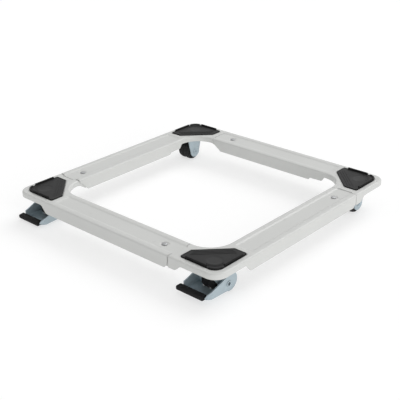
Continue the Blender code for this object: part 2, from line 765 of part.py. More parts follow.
def build_clamp(shop, name, carrier):
    """Make the clamp screw and its square nut."""
    seat = PLATE_TOP - BAND_DEPTH - DIMPLE_DEPTH + GAP
    rail_under = PLATE_TOP - NEST - BAND_DEPTH - SHEET
    nut_top = rail_under - GAP
    nut_bottom = nut_top - NUT_HEIGHT
    tail = nut_bottom - SCREW_TAIL
    crown = seat + SCREW_HEAD_HEIGHT
    shoulder = SCREW_HEAD_RADIUS * cos(pi / 4)
    profile = [(0, crown), (shoulder, crown - (SCREW_HEAD_RADIUS - shoulder) / 2)]
    profile += [(SCREW_HEAD_RADIUS, seat + SCREW_HEAD_HEIGHT / 3), (SCREW_HEAD_RADIUS, seat)]
    profile += [(SCREW_RADIUS, seat), (SCREW_RADIUS, tail), (0, tail)]
    spot = (SCREW_ALONG, ARM_WIDTH / 2, 0)
    screw = shop.place("clamp_screw_" + name, profile_mesh("clamp_screw", profile, False),
                       "screw_steel", carrier, spot)
    turned(screw, SMALL_TURN_STEPS)
    for index, (wide, deep) in enumerate(((DRIVE_LENGTH, DRIVE_WIDTH), (DRIVE_WIDTH, DRIVE_LENGTH))):
        low = (-wide / 2, -deep / 2, crown - DRIVE_DEPTH)
        high = (wide / 2, deep / 2, crown + OVERRUN)
        tool = shop.cutter(f"cross_{name}_{index}", box_mesh("cross", low, high), carrier, spot)
        combine(screw, tool, "DIFFERENCE")
    half = NUT_SIDE / 2
    nut_mesh = box_mesh("clamp_nut", (-half, -half, nut_bottom), (half, half, nut_top))
    nut = shop.place("clamp_nut_" + name, nut_mesh, "screw_steel", carrier, spot)
    bore = cone_mesh("nut_bore", SCREW_RADIUS + GAP, SCREW_RADIUS + GAP, 0, PLATE_TOP, SMALL_TURN_STEPS)
    combine(nut, shop.cutter("nut_bore_" + name, bore, carrier, spot), "DIFFERENCE")


# Caster. Its frame has the axle at the origin, the axle along X and the front towards -Y.

def fork_edge(front_reach, front_height):
    """Return the fork's lower edge as points of place along Y and height, front to back."""
    web_under = FORK_TOP - AXLE_HEIGHT - FORK_SHEET
    points = [(-front_reach, web_under - front_height)]
    points += arc((0, 0), FORK_EYE_RADIUS, 180, 360, EYE_STEPS)
    points.append((FORK_REACH, web_under - FORK_EDGE_HEIGHT))
    return points


def fork_mesh(front_reach, front_height):
    """Return the open surface of a fork: a web with a cheek bent down on each side."""
    half = FORK_WIDTH / 2
    radius = FORK_BEND_RADIUS
    top = FORK_TOP - AXLE_HEIGHT
    left = arc((-half + radius, top - radius), radius, 180, 90, BEND_STEPS)
    right = arc((half - radius, top - radius), radius, 90, 0, BEND_STEPS)
    rows = []
    for along, low in fork_edge(front_reach, front_height):
        rows.append([(-half, along, low)] + [(x, along, z) for x, z in left + right] + [(half, along, low)])
    sheet = Sheet()
    sheet.grid(rows)
    return sheet.mesh("fork_sheet", Vector((0, 0, 1)))


def across_cylinder(name, radius, half_length):
    """Return a cylinder along X through the origin."""
    made = cone_mesh(name, radius, radius, -half_length, half_length, SMALL_TURN_STEPS)
    made.transform(Matrix.Rotation(pi / 2, 4, "Y"))
    return made


def rivet_places(front):
    """Return the places of the fork's rivets along Y from the axle."""
    middle = (FORK_REACH - FORK_FRONT_REACH) / 2 if front else 0
    return [middle - RIVET_SPREAD, middle + RIVET_SPREAD]


def build_fork(shop, name, carrier, front):
    """Make the fork with its axle hole and rivet holes."""
    reach = FORK_FRONT_REACH if front else FORK_REACH
    height = FORK_FRONT_EDGE_HEIGHT if front else FORK_EDGE_HEIGHT
    fork = shop.place("caster_fork_" + name, fork_mesh(reach, height), "zinc", carrier)
    thicken(fork, FORK_SHEET)
    top = FORK_TOP - AXLE_HEIGHT
    holes = [across_cylinder("fork_eye", AXLE_RADIUS + GAP, FORK_WIDTH)]
    for along in rivet_places(front):
        holes.append(cone_mesh("fork_rivet_hole", RIVET_RADIUS + GAP, RIVET_RADIUS + GAP, top - OVERRUN,
                               top + OVERRUN, SMALL_TURN_STEPS, (0, along)))
    combine(fork, shop.cutter("fork_holes_" + name, gathered("fork_holes", holes), carrier), "DIFFERENCE")


def rivet_profile():
    """Return the profile of a rivet through the pocket floor and the fork's web."""
    seat = PLATE_TOP - POCKET_DEPTH - AXLE_HEIGHT + GAP
    under = FORK_TOP - FORK_SHEET - AXLE_HEIGHT - GAP
    shoulder = RIVET_HEAD_RADIUS * cos(pi / 4)
    profile = [(0, seat + RIVET_HEAD_HEIGHT - GAP), (shoulder, seat + RIVET_HEAD_HEIGHT - GAP)]
    profile += [(RIVET_HEAD_RADIUS, seat), (RIVET_RADIUS, seat), (RIVET_RADIUS, under)]
    profile += [(RIVET_HEAD_RADIUS, under), (shoulder, under - RIVET_HEAD_HEIGHT)]
    return profile + [(0, under - RIVET_HEAD_HEIGHT)]


def build_rivets(shop, name, carrier, front):
    """Make the fork's two rivets."""
    for along, end in zip(rivet_places(front), ("ahead", "behind")):
        mesh = profile_mesh("rivet", rivet_profile(), False)
        rivet = shop.place(f"fork_rivet_{name}_{end}", mesh, "screw_steel", carrier, (0, along, 0))
        turned(rivet, SMALL_TURN_STEPS)


def tyre_profile():
    """Return the closed profile of the twin-crowned tread, top to bottom on the outside."""
    half = TREAD_WIDTH / 2
    groove = TREAD_GROOVE_WIDTH / 2
    edge = WHEEL_RADIUS - TREAD_CROWN
    valley = WHEEL_RADIUS - TREAD_GROOVE_DEPTH
    crown = (half + groove) / 2
    upper = [(edge - TREAD_CROWN, half), (edge, half - TREAD_CROWN), (WHEEL_RADIUS, crown)]
    upper.append((valley, groove))
    lower = [(radius, -place) for radius, place in reversed(upper)]
    return upper + lower + [(TYRE_INNER_RADIUS, -half), (TYRE_INNER_RADIUS, half)]


def core_profile():
    """Return the closed profile of the wheel's core, top to bottom on the outside."""
    rim = TYRE_INNER_RADIUS - GAP
    half = TREAD_WIDTH / 2
    hub = HUB_LENGTH / 2
    web = half - CORE_WEB_INSET
    bore = AXLE_RADIUS + GAP
    upper = [(bore, hub), (HUB_RADIUS, hub), (HUB_RADIUS, web), (rim - CORE_RIM_WALL, web)]
    upper += [(rim - CORE_RIM_WALL, half), (rim, half)]
    lower = [(radius, -place) for radius, place in reversed(upper)]
    return upper + lower


def axle_profile(half_length):
    """Return the profile of an axle with a hollow rivet head at both ends."""
    end = half_length + AXLE_HEAD_HEIGHT
    upper = [(0, end - AXLE_HOLLOW_DEPTH), (AXLE_HOLLOW_RADIUS, end - AXLE_HOLLOW_DEPTH)]
    upper += [(AXLE_HOLLOW_RADIUS, end), (AXLE_HEAD_RADIUS - AXLE_HEAD_HEIGHT / 2, end)]
    upper += [(AXLE_HEAD_RADIUS, half_length + AXLE_HEAD_HEIGHT / 2), (AXLE_HEAD_RADIUS, half_length)]
    upper += [(AXLE_RADIUS, half_length)]
    return upper + [(radius, -place) for radius, place in reversed(upper)]


def build_wheel(shop, name, carrier):
    """Make the tyre and the core of a wheel."""
    tyre = shop.place("wheel_tyre_" + name, profile_mesh("tyre", tyre_profile(), True),
                      "tyre_rubber", carrier)
    turned(tyre, TURN_STEPS)
    lay_along_x(tyre)
    core = shop.place("wheel_core_" + name, profile_mesh("core", core_profile(), True),
                      "wheel_plastic", carrier)
    turned(core, TURN_STEPS)
    lay_along_x(core)


def build_axle(shop, name, carrier, width):
    """Make the axle through walls whose outer faces lie a width apart."""
    profile = axle_profile(width / 2 + GAP)
    axle = shop.place("caster_axle_" + name, profile_mesh("axle", profile, False), "zinc", carrier)
    turned(axle, SMALL_TURN_STEPS)
    lay_along_x(axle)


def pedal_point(shares):
    """Return a point of the pedal's side view from its shares."""
    return (shares[0] * PEDAL_REACH, shares[1] * PEDAL_ROUND_RADIUS)


def round_end(steps):
    """Return the round back end of a pedal cheek, from its top to its bottom."""
    middle = (PEDAL_ROUND_BACK, PEDAL_ROUND_RISE)
    return arc(middle, PEDAL_ROUND_RADIUS, *CHEEK_ROUND_ANGLES, steps)


def plate_line():
    """Return the pedal's bottom line: the flange's back end, the plate's back edge, then to its front."""
    behind = round_end(ROUND_STEPS)[-1]
    first = pedal_point(PLATE_LINE_SHARES[0])
    line = []
    for start in (FLANGE_START, PEDAL_PLATE_START):
        share = (behind[0] + start) / (behind[0] - first[0])
        line.append((-start, between(behind[1], first[1], share)))
    return line + [pedal_point(shares) for shares in PLATE_LINE_SHARES]


def pedal_cheek_outline():
    """Return the outline of a pedal cheek, above the bend that joins it to the plate."""
    outline = [pedal_point(shares) for shares in CHEEK_TOP_SHARES]
    outline += round_end(2 * ROUND_STEPS)
    line = plate_line()
    outline.append(line[0])
    outline += [(along, height + PEDAL_BEND_RADIUS) for along, height in line]
    outline.append(pedal_point(CHEEK_TIP_SHARES))
    return outline


def pedal_row(along, low):
    """Return the halves of a row of points across the pedal's bottom, left and right."""
    half = PEDAL_WIDTH / 2
    radius = PEDAL_BEND_RADIUS
    left = arc((-half + radius, low + radius), radius, 180, 270, BEND_STEPS)
    left.append((-half + FLANGE_WIDTH, low))
    right = [(half - FLANGE_WIDTH, low)]
    right += arc((half - radius, low + radius), radius, 270, 360, BEND_STEPS)
    return [[(x, along, z) for x, z in side] for side in (left, right)]


def pedal_mesh():
    """Return the open surface of the pedal: a plate with a cheek bent up on each side."""
    half = PEDAL_WIDTH / 2
    sheet = Sheet()
    rows = [pedal_row(along, low) for along, low in plate_line()]
    sheet.grid([left + right for left, right in rows[1:]])
    for side in (0, 1):
        sheet.grid([row[side] for row in rows[:2]])
    for across in (-half, half):
        sheet.fill([(across, along, height) for along, height in pedal_cheek_outline()])
    return sheet.mesh("pedal_sheet", Vector((0, 0, -1)))


def grip_box(gap):
    """Return the low and high corners of the grip, grown by a gap."""
    middle = -GRIP_SHIFT
    low = (middle - GRIP_WIDTH / 2 - gap, -PEDAL_REACH - gap, -GRIP_BOTTOM_DROP - gap)
    high = (middle + GRIP_WIDTH / 2 + gap, -GRIP_BACK + gap, -GRIP_TOP_DROP + gap)
    return low, high


def tip_box():
    """Return the low and high corners of the room of the left cheek's tip, which the grip covers."""
    side = PEDAL_WIDTH / 2
    low = (-side - OVERRUN, -PEDAL_REACH - OVERRUN, -PEDAL_ROUND_RADIUS)
    high = (-side + PEDAL_SHEET + GAP, -GRIP_BACK + GAP, PEDAL_ROUND_RADIUS)
    return low, high


def plate_height(along):
    """Return the height of the plate's underside at a place along Y."""
    line = plate_line()
    for (back, high), (front, low) in zip(line, line[1:]):
        if front <= along <= back:
            return between(high, low, (back - along) / (back - front))
    return line[-1][1]


def tongue_box(gap):
    """Return the low and high corners of the pedal's tongue inside the grip, grown by a gap."""
    under = plate_height(-GRIP_BACK) + TONGUE_RISE
    left = -PEDAL_WIDTH / 2 + PEDAL_SHEET + TONGUE_INSET
    right = grip_box(0)[1][0] - TONGUE_INSET
    front = -GRIP_BACK - TONGUE_LENGTH
    back = -GRIP_BACK + (0 if gap else PEDAL_SHEET)
    return (left - gap, front - gap, under - gap), (right + gap, back + gap, under + PEDAL_SHEET + gap)


def build_pedal(shop, name, carrier):
    """Make the pedal, its rubber grip and its spacer sleeves."""
    pedal = shop.place("brake_pedal_" + name, pedal_mesh(), "zinc", carrier)
    thicken(pedal, PEDAL_SHEET)
    eye = across_cylinder("pedal_eye", AXLE_RADIUS + GAP, PEDAL_WIDTH)
    combine(pedal, shop.cutter("pedal_eye_" + name, eye, carrier), "DIFFERENCE")
    rooms = (box_mesh("grip_room", *grip_box(GAP)), box_mesh("tip_room", *tip_box()))
    for index, room in enumerate(rooms):
        combine(pedal, shop.cutter(f"grip_room_{name}_{index}", room, carrier), "DIFFERENCE")
    tongue = shop.cutter("pedal_tongue_" + name, box_mesh("pedal_tongue", *tongue_box(0)), carrier)
    combine(pedal, tongue, "UNION")
    grip = shop.place("pedal_grip_" + name, box_mesh("grip", *grip_box(0)), "grip_rubber", carrier)
    soften = grip.modifiers.new("rounding", "BEVEL")
    soften.width = GRIP_ROUNDING
    soften.segments = BEND_STEPS
    socket = shop.cutter("grip_socket_" + name, box_mesh("grip_socket", *tongue_box(GAP)), carrier)
    combine(grip, socket, "DIFFERENCE")


def build_sleeves(shop, name, carrier):
    """Make the two spacer sleeves on the axle."""
    near = FORK_WIDTH / 2 + GAP
    far = PEDAL_WIDTH / 2 - PEDAL_SHEET - GAP
    bore = AXLE_RADIUS + GAP
    for place, side in ((-far, "left"), (near, "right")):
        length = far - near
        profile = [(bore, length), (SLEEVE_RADIUS, length), (SLEEVE_RADIUS, 0), (bore, 0)]
        sleeve = shop.place(f"pedal_sleeve_{name}_{side}", profile_mesh("sleeve", profile, True),
                            "zinc", carrier, (place, 0, 0))
        turned(sleeve, SMALL_TURN_STEPS)
        lay_along_x(sleeve)


def caster_inset(side_x, side_y):
    """Return the caster's distance from the frame's side face and front or back face."""
    if side_y > 0:
        return REAR_CASTER_INSET_X, REAR_CASTER_INSET_Y
    return (LEFT_CASTER_INSET_X if side_x < 0 else RIGHT_CASTER_INSET_X), FRONT_CASTER_INSET_Y


def build_unit(shop, quarter, name):
    """Make one corner of the base with everything that it carries."""
    side_x, side_y = CORNER_SIDES[name]
    front = side_y < 0
    inset_x, inset_y = caster_inset(side_x, side_y)
    turn = quarter * pi / 2
    corner = Vector((side_x * HALF_SIDE, FRAME_Y + side_y * HALF_SIDE, 0))
    axle = Vector((side_x * (HALF_SIDE - inset_x), FRAME_Y + side_y * (HALF_SIDE - inset_y), AXLE_HEIGHT))
    pressing = shop.stand("corner_" + name, corner, turn)
    caster = shop.stand("caster_" + name, axle)
    into_corner = Matrix.Rotation(-turn, 2)
    spots = [axle.xy + Vector((0, along)) - corner.xy for along in rivet_places(front)]
    rivets = [tuple(into_corner @ spot) for spot in spots]
    build_corner(shop, name, pressing, rivets)
    build_pad(shop, name, pressing, rivets)
    build_clamp(shop, name, pressing)
    build_fork(shop, name, caster, front)
    build_rivets(shop, name, caster, front)
    build_wheel(shop, name, caster)
    build_axle(shop, name, caster, PEDAL_WIDTH if front else FORK_WIDTH)
    if front:
        build_pedal(shop, name, shop.stand("pedal_" + name, axle, tilt=radians(PEDAL_TILTS[name])))
        build_sleeves(shop, name, caster)


def main():
    """Build the whole base."""
    clear_scene()
    shop = Workshop()
    for quarter, name in enumerate(CORNERS):
        build_unit(shop, quarter, name)


main()
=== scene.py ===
# Looks of the appliance roller base: finer pieces in the same frame as the CAD part.
# World: metres, +Z up, the origin on the floor in the middle of the whole part,
# the pedals towards -Y.

import json
from math import cos, pi, radians, sin, sqrt, tan

import bmesh
import bpy
from mathutils import Matrix, Vector
from mathutils.geometry import delaunay_2d_cdt

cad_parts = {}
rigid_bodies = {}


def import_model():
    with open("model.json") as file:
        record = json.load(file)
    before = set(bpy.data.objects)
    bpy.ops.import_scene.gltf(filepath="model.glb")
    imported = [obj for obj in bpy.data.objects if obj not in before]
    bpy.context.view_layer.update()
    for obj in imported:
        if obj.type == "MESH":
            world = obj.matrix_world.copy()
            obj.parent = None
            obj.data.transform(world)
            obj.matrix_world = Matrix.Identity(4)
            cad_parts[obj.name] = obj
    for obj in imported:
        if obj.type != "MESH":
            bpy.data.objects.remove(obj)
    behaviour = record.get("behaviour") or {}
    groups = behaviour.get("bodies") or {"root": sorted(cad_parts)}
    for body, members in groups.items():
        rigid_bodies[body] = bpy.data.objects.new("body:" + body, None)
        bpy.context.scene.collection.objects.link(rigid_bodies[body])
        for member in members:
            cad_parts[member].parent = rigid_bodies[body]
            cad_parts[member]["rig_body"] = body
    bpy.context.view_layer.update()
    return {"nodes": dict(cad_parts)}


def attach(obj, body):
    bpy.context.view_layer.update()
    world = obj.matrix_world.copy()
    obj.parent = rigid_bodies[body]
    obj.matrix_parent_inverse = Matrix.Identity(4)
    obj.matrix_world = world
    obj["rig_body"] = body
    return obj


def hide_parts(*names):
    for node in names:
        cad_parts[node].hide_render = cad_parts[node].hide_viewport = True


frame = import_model()

# Frame
FRAME_SIDE = 0.4662
PLATE_TOP = 0.0544
SHEET = 0.0016
ARM_WIDTH = 0.0532
BEND_RADIUS = 0.003
CORNER_RADIUS = 0.022
INNER_FILLET = 0.042
SKIRT_DEPTH = 0.0096
ARM_WALL_DEPTH = 0.0225
RAIL_WALL_DEPTH = 0.0195
ARM_SWELL_LEAD = 0.0312
RAIL_SWELL_LEAD = 0.0252
SWELL_LENGTH = 0.0155
INNER_SWELL_LENGTH = 0.0080
INNER_SHALLOW_DEPTH = 0.0180
INNER_SHALLOW_LENGTH = 0.0240
INNER_STEP_LENGTH = 0.0040

# Sunk band along the top of the arms
RIM_WIDTH = 0.0090
BAND_SLOPE = 0.0050
BAND_DEPTH = 0.0012
BAND_TO_PAD = 0.0080
BAND_END_ROUND = 0.0055
ROW_STEP = 0.0006

# Seam between an outer arm and the neighbour's corner
SEAM_TO_FILLET = 0.0004
SEAM_GAP = 0.0008
SEAM_TONGUE = 0.0035
JOGGLE_LENGTH = 0.0024
# The corners aren't pushed together alike. Each outer arm's end is moved on along its top and back
# along its wall, and the slope of each joggle has its own length.
SEAMS = {
    "front_left": (0.0006, 0.0002, 0.0022),
    "front_right": (0.00075, 0, 0.0010),
    "back_right": (0.0006, 0.0012, 0.0012),
    "back_left": (-0.0006, 0.0012, 0.0014),
}
OUTER_END_CUT = 0.0070
OUTER_END_POWER = 4
INNER_END_CUT = 0.0190

# Sliding fit, slot and clamp screw
SLIDE_CLEARANCE = 0.0004
RAIL_END_INSET = 0.1176
SCREW_INSET = 0.0303
SLOT_WIDTH = 0.0062
SLOT_END_BAND = 0.0110
SLOT_MARGIN = 0.0060
DIMPLE_RADIUS = 0.0080
DIMPLE_FLOOR_RADIUS = 0.0060
DIMPLE_DEPTH = 0.0011
DIMPLE_MARGIN = 0.0105
SCREW_HEAD_RADIUS = 0.0046
SCREW_HEAD_HEIGHT = 0.0021
SCREW_DOME_SHARE = 2 / 3
SCREW_DOME_STEPS = 9
SCREW_RADIUS = 0.0024
SCREW_TAIL = 0.0012
THREAD_PITCH = 0.0008
THREAD_DEPTH = 0.0003
DRIVE_LENGTH = 0.0054
DRIVE_WIDTH = 0.0016
DRIVE_DEPTH = 0.0022
NUT_SIDE = 0.0100
NUT_HEIGHT = 0.0035

# Pad and its pocket
PAD_MARGIN = 0.0111
PAD_OVER_ARM = 0.0176
PAD_SLANT_CLEARANCE = 0.0099
PAD_CORNER_RADIUS = 0.0150
PAD_EDGE_RADIUS = 0.0020
PAD_HEIGHT = 0.0022
PAD_RIM_WIDTH = 0.0014
PAD_RIM_HEIGHT = 0.0005
PAD_RIM_FOOT_SHARE = 0.4
PAD_SOFTENING = 0.0004
PAD_RIM_ANGLES = (30, 90)
POCKET_DEPTH = 0.0012
POCKET_SLOPE = 0.0012
POCKET_GAP = 0.0005
LIP_START = 0.0190
LIP_END_MARGIN = 0.0088
LIP_THICKNESS = 0.0026
LIP_HEIGHT = 0.0036
CORNER_WALL_HEIGHT = 0.0020
CORNER_WALL_THICKNESS = 0.0022
WALL_RIB_WIDTH = 0.0007
WALL_RIB_COUNT = 9
WALL_RIB_LENGTH = 0.0016
WALL_RIB_MARGIN = 0.14
PAD_RIB_WIDTH = 0.0010
PAD_RIB_HEIGHT = 0.0005
PAD_RIB_PITCH = 0.0042
PAD_RIB_COUNT = 3
PAD_DISH_MARGIN = 0.0090
# Place and size of the disc in the pad's middle where shade is painted
PAD_SHADE_INSET = 0.0345
PAD_SHADE_RADIUS = 0.0115
PAD_DISH_DEPTH = 0.0006
PAD_DISH_SLOPE = 0.0060
PAD_ARC_PITCH = 0.0030
PAD_ARC_COUNT = 2
PAD_ARC_SPREAD = 8
LIP_END_SLOPE = 0.0014
LIP_SOFTENING = 0.0005

# Caster
WHEEL_RADIUS = 0.0180
TREAD_WIDTH = 0.0266
TREAD_GROOVE_WIDTH = 0.0030
TREAD_GROOVE_DEPTH = 0.0016
TREAD_CROWN = 0.0011
TREAD_CROWN_STEPS = 8
TREAD_SHOULDER_ANGLES = (70, 20)
TYRE_INNER_RADIUS = 0.0125
CORE_RIM_WALL = 0.0018
CORE_WEB_INSET = 0.0042
CORE_RIB_COUNT = 6
CORE_RIB_WIDTH = 0.0012
CORE_RIB_DROP = 0.0016
HUB_RADIUS = 0.0062
HUB_LENGTH = 0.0298
AXLE_RADIUS = 0.0038
AXLE_HEAD_RADIUS = 0.0050
AXLE_HEAD_HEIGHT = 0.0008
AXLE_HEAD_STEPS = 3
AXLE_HOLLOW_RADIUS = 0.0029
AXLE_HOLLOW_DEPTH = 0.0140
FORK_SHEET = 0.0020
FORK_WIDTH = 0.0350
FORK_BEND_RADIUS = 0.0035
FORK_REACH = 0.0185
FORK_FRONT_REACH = 0.0270
FORK_EDGE_HEIGHT = 0.0060
FORK_FRONT_EDGE_HEIGHT = 0.0133
FORK_EYE_RADIUS = 0.0125
RIVET_SPREAD = 0.0130
RIVET_RADIUS = 0.0022
RIVET_HEAD_RADIUS = 0.0038
RIVET_HEAD_HEIGHT = 0.0009
RIVET_DOME_STEPS = 6
FRONT_CASTER_INSET = 0.0451
REAR_CASTER_PAST_ARM = 0.0045

# Brake pedal, measured from the axle
PEDAL_WIDTH = 0.0544
PEDAL_SHEET = 0.0020
PEDAL_BEND_RADIUS = 0.0028
PEDAL_REACH = 0.0531
PEDAL_ROUND_RADIUS = 0.0156
PEDAL_ROUND_BACK = 0.0034
PEDAL_ROUND_RISE = 0.0026
PEDAL_PLATE_START = 0.0153
FLANGE_START = 0.0010
FLANGE_WIDTH = 0.0090
TAB_START = 0.0092
TAB_INSET = 0.0137
SLEEVE_RADIUS = 0.0058
GRIP_WIDTH = 0.0538
GRIP_SHIFT = 0.0059
GRIP_BACK = 0.0412
GRIP_TOP_DROP = 0.0022
GRIP_BOTTOM_DROP = 0.0095
GRIP_ROUNDING = 0.0024
GRIP_ROUNDING_STEPS = 4

# Corners of a pedal cheek as shares of the pedal's reach and of its round end's radius
CHEEK_TOP_SHARES = ((-0.900, 0.051), (-0.678, 0.199), (-0.377, 0.506))
CHEEK_TIP_SHARES = (-0.974, -0.179)
PLATE_LINE_SHARES = ((-0.706, -0.712), (-0.819, -0.577), (-0.919, -0.410))
CHEEK_ROUND_ANGLES = (70, -92.5)

# How far each pedal's front stands turned down, in degrees
PEDAL_TILTS = {"front_left": 6.0, "front_right": 0.0}

# Fits, edges and counts
GAP = 0.0003
WELD = 0.000004
SHEET_EDGE = 0.00022
HARD_EDGE = 0.0003
WALL_SHARES = (0, 0.25, 0.5, 0.75)
SOFT_STEPS = 2
BEND_STEPS = 5
ROUND_STEPS = 14
SLOPE_STEPS = 6
SWELL_STEPS = 10
TURN_STEPS = 72
SMALL_TURN_STEPS = 40
SMOOTH_ANGLE = 35
EDGE_ANGLE = 50
NORMAL_WEIGHT = 80

# Derived places
HALF_SIDE = FRAME_SIDE / 2
NEST = SHEET + SLIDE_CLEARANCE
FILLET_END = ARM_WIDTH + INNER_FILLET
PAD_SIDE = ARM_WIDTH + PAD_OVER_ARM
SLANT_SUM = 2 * FILLET_END - (INNER_FILLET + PAD_SLANT_CLEARANCE) * sqrt(2)
PAD_SHORT_SIDE = SLANT_SUM - 2 * PAD_MARGIN - PAD_SIDE
PAD_DISH_RADIUS = PAD_SHORT_SIDE - PAD_DISH_MARGIN
PAD_FAR = PAD_MARGIN + PAD_SIDE
PAD_SLANT = PAD_MARGIN + PAD_SHORT_SIDE
LIP_LENGTH = PAD_SIDE - LIP_START - LIP_END_MARGIN
BAND_END = PAD_FAR + BAND_TO_PAD
ARM_START = max(FILLET_END, BAND_END + BAND_SLOPE) + ROW_STEP
INNER_STEP_START = ARM_START + INNER_SWELL_LENGTH + INNER_SHALLOW_LENGTH
ARM_SWELL_START = FILLET_END - ARM_SWELL_LEAD
RAIL_SWELL_START = FILLET_END - RAIL_SWELL_LEAD
SEAM_INSET = FILLET_END + SEAM_TO_FILLET + JOGGLE_LENGTH + SEAM_GAP
SEAM = SEAM_INSET - SEAM_GAP
ARM_END = FRAME_SIDE - SEAM_INSET
SCREW_ALONG = ARM_END - SCREW_INSET
SCREW_ON_RAIL = FRAME_SIDE - SCREW_ALONG
RAIL_END = FRAME_SIDE - RAIL_END_INSET
SLOT_END = RAIL_END - SLOT_END_BAND
AXLE_HEIGHT = WHEEL_RADIUS
REAR_CASTER_INSET = ARM_WIDTH + REAR_CASTER_PAST_ARM
FORK_TOP = PLATE_TOP - POCKET_DEPTH - SHEET - GAP
PAD_FLOOR = PLATE_TOP - POCKET_DEPTH + GAP + PAD_HEIGHT
NUT_TOP = PLATE_TOP - NEST - BAND_DEPTH - SHEET - GAP
FRONT_REACH = HALF_SIDE - FRONT_CASTER_INSET + PEDAL_REACH
FRAME_Y = (FRONT_REACH - HALF_SIDE) / 2
TOP_INDEX = len(WALL_SHARES) + BEND_STEPS
BAND_INDEX = TOP_INDEX + 1 + SLOPE_STEPS
UP = Vector((0, 0, 1))

# Each corner in the order of quarter turns: its sides of the frame, and how far its axle stands in
# from the two faces there
CORNERS = {
    "front_left": ((-1, -1), (0.0385, FRONT_CASTER_INSET)),
    "front_right": ((1, -1), (0.0427, FRONT_CASTER_INSET)),
    "back_right": ((1, 1), (0.0361, REAR_CASTER_INSET)),
    "back_left": ((-1, 1), (0.0361, REAR_CASTER_INSET)),
}

# Each slot's look, base colour, plain roughness, metallic and how the names of its CAD nodes start
FINISHES = {
    "frame_paint": ("paint", (0.582, 0.588, 0.574), 0.39, 0, ("corner_frame",)),
    "pad_rubber": ("pad", (0.0172, 0.0172, 0.0175), 0.68, 0, ("pad",)),
    "zinc": ("metal", (0.42, 0.495, 0.535), 0.35, 0.6,
             ("caster_fork", "caster_axle", "brake_pedal", "pedal_sleeve")),
    "screw_steel": ("metal", (0.36, 0.365, 0.37), 0.45, 0.8, ("clamp", "fork_rivet")),
    "wheel_plastic": ("rubber", (0.025, 0.025, 0.027), 0.45, 0, ("wheel_core",)),
    "tyre_rubber": ("rubber", (0.018, 0.018, 0.019), 0.75, 0, ("wheel_tyre",)),
    "grip_rubber": ("rubber", (0.009, 0.009, 0.0095), 0.72, 0, ("pedal_grip",)),
}

# Patterns of the looks: cycles for each metre, detail, stretch, and where each starts and is full
EVEN = (1, 1, 1)
PATTERNS = {
    "paint_patches": (9, 3, EVEN, 0.35, 0.70),
    "paint_marks": (60, 6, (1, 1, 4), 0.66, 0.74),
    "rubber_dust": (28, 5, EVEN, 0.45, 0.80),
    "rubber_rubbed": (130, 4, EVEN, 0.58, 0.75),
    "pad_dust": (40, 5, EVEN, 0.35, 0.75),
    "metal_clouds": (45, 4, EVEN, 0.30, 0.75),
    "metal_scratches": (240, 5, (1, 0.12, 1), 0.62, 0.70),
}
FLAKES_PER_METRE = 420

# Looks: the fine grain's cycles for each metre, detail, depth and strength, the shine, how light the
# bare material is against its base colour, and the layers over it. A layer has its pattern, how light
# it is, how much of it covers and how much rougher it is.
RUBBER_GRAIN = (2200, 2, 0.00005, 0.35)
LOOKS = {
    "paint": ((1400, 3, 0.00004, 0.30), 0.5, 0.985, (
        ("paint_patches", 1.015, 1, 0.06),
        ("paint_marks", 0.86, 0.35, 0.10))),
    "rubber": (RUBBER_GRAIN, 0.20, 0.90, (
        ("rubber_dust", 1.35, 1, 0.12),
        ("rubber_rubbed", 0.90, 0, -0.10))),
    "pad": (RUBBER_GRAIN, 0.25, 1.0, (
        ("pad_dust", 1.30, 1, 0.08),
        # Pad middle: painted shade, a darker disc, with smoother rubber there
        ("pad_worn", 0.80, 1, -0.12),
        # Pad lips: painted shade, far darker than the pad, with smoother rubber there
        ("pad_lips", 0.35, 1, -0.08))),
    "metal": ((900, 3, 0.00003, 0.25), 0.5, 0.93, (
        ("metal_clouds", 1.07, 1, 0.10),
        ("metal_flakes", 0.85, 0.25, 0.06),
        ("metal_scratches", 0.75, 0.3, 0.10))),
}

# Camera and light
VIEW_TURN = 0.73628
VIEW_RISE = 0.437656
VIEW_ROLL = -0.0126252
VIEW_DISTANCE = 1.39682
VIEW_TARGET = (0.04113, -0.05106, 0.0544)
LENS = 73.607
SENSOR = 36
SUNS = {"side_sun": ((0.93, -0.20, 0.30), 1.0), "top_sun": ((0.0, 0.68, 0.73), 1.25)}
SUN_ANGLE = 40
AMBIENT = 0.54
FLOOR_SHADE = 0.42
FLOOR_GLOW = 0.62
FLOOR_BOUNCE = 1.00
FLOOR_LIFT = 0.22
FLOOR_REACH = 4
FLOOR_ROUGHNESS = 0.9

# The body that each CAD node rides
BODY_OF = {name: node["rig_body"] for name, node in frame["nodes"].items()}


class Value:
    """A socket of a tree of nodes, whose sums are written as plain arithmetic."""

    def __init__(self, tree, socket):
        self.tree = tree
        self.socket = socket

    def math(self, operation, *numbers):
        """Return the result of one operation on numbers."""
        return self.tree.node("ShaderNodeMath", dict(enumerate(numbers)), operation=operation)

    def __add__(self, other):
        return self.math("ADD", self, other)

    def __sub__(self, other):
        return self.math("SUBTRACT", self, other)

    def __rsub__(self, other):
        return self.math("SUBTRACT", other, self)

    def __mul__(self, other):
        return self.math("MULTIPLY", self, other)

    __radd__ = __add__
    __rmul__ = __mul__

    def over(self, low, high):
        """Return a smooth step from 0 at the low value to 1 at the high value."""
        inputs = {"Value": self, "From Min": low, "From Max": high}
        return self.tree.node("ShaderNodeMapRange", inputs, interpolation_type="SMOOTHSTEP")


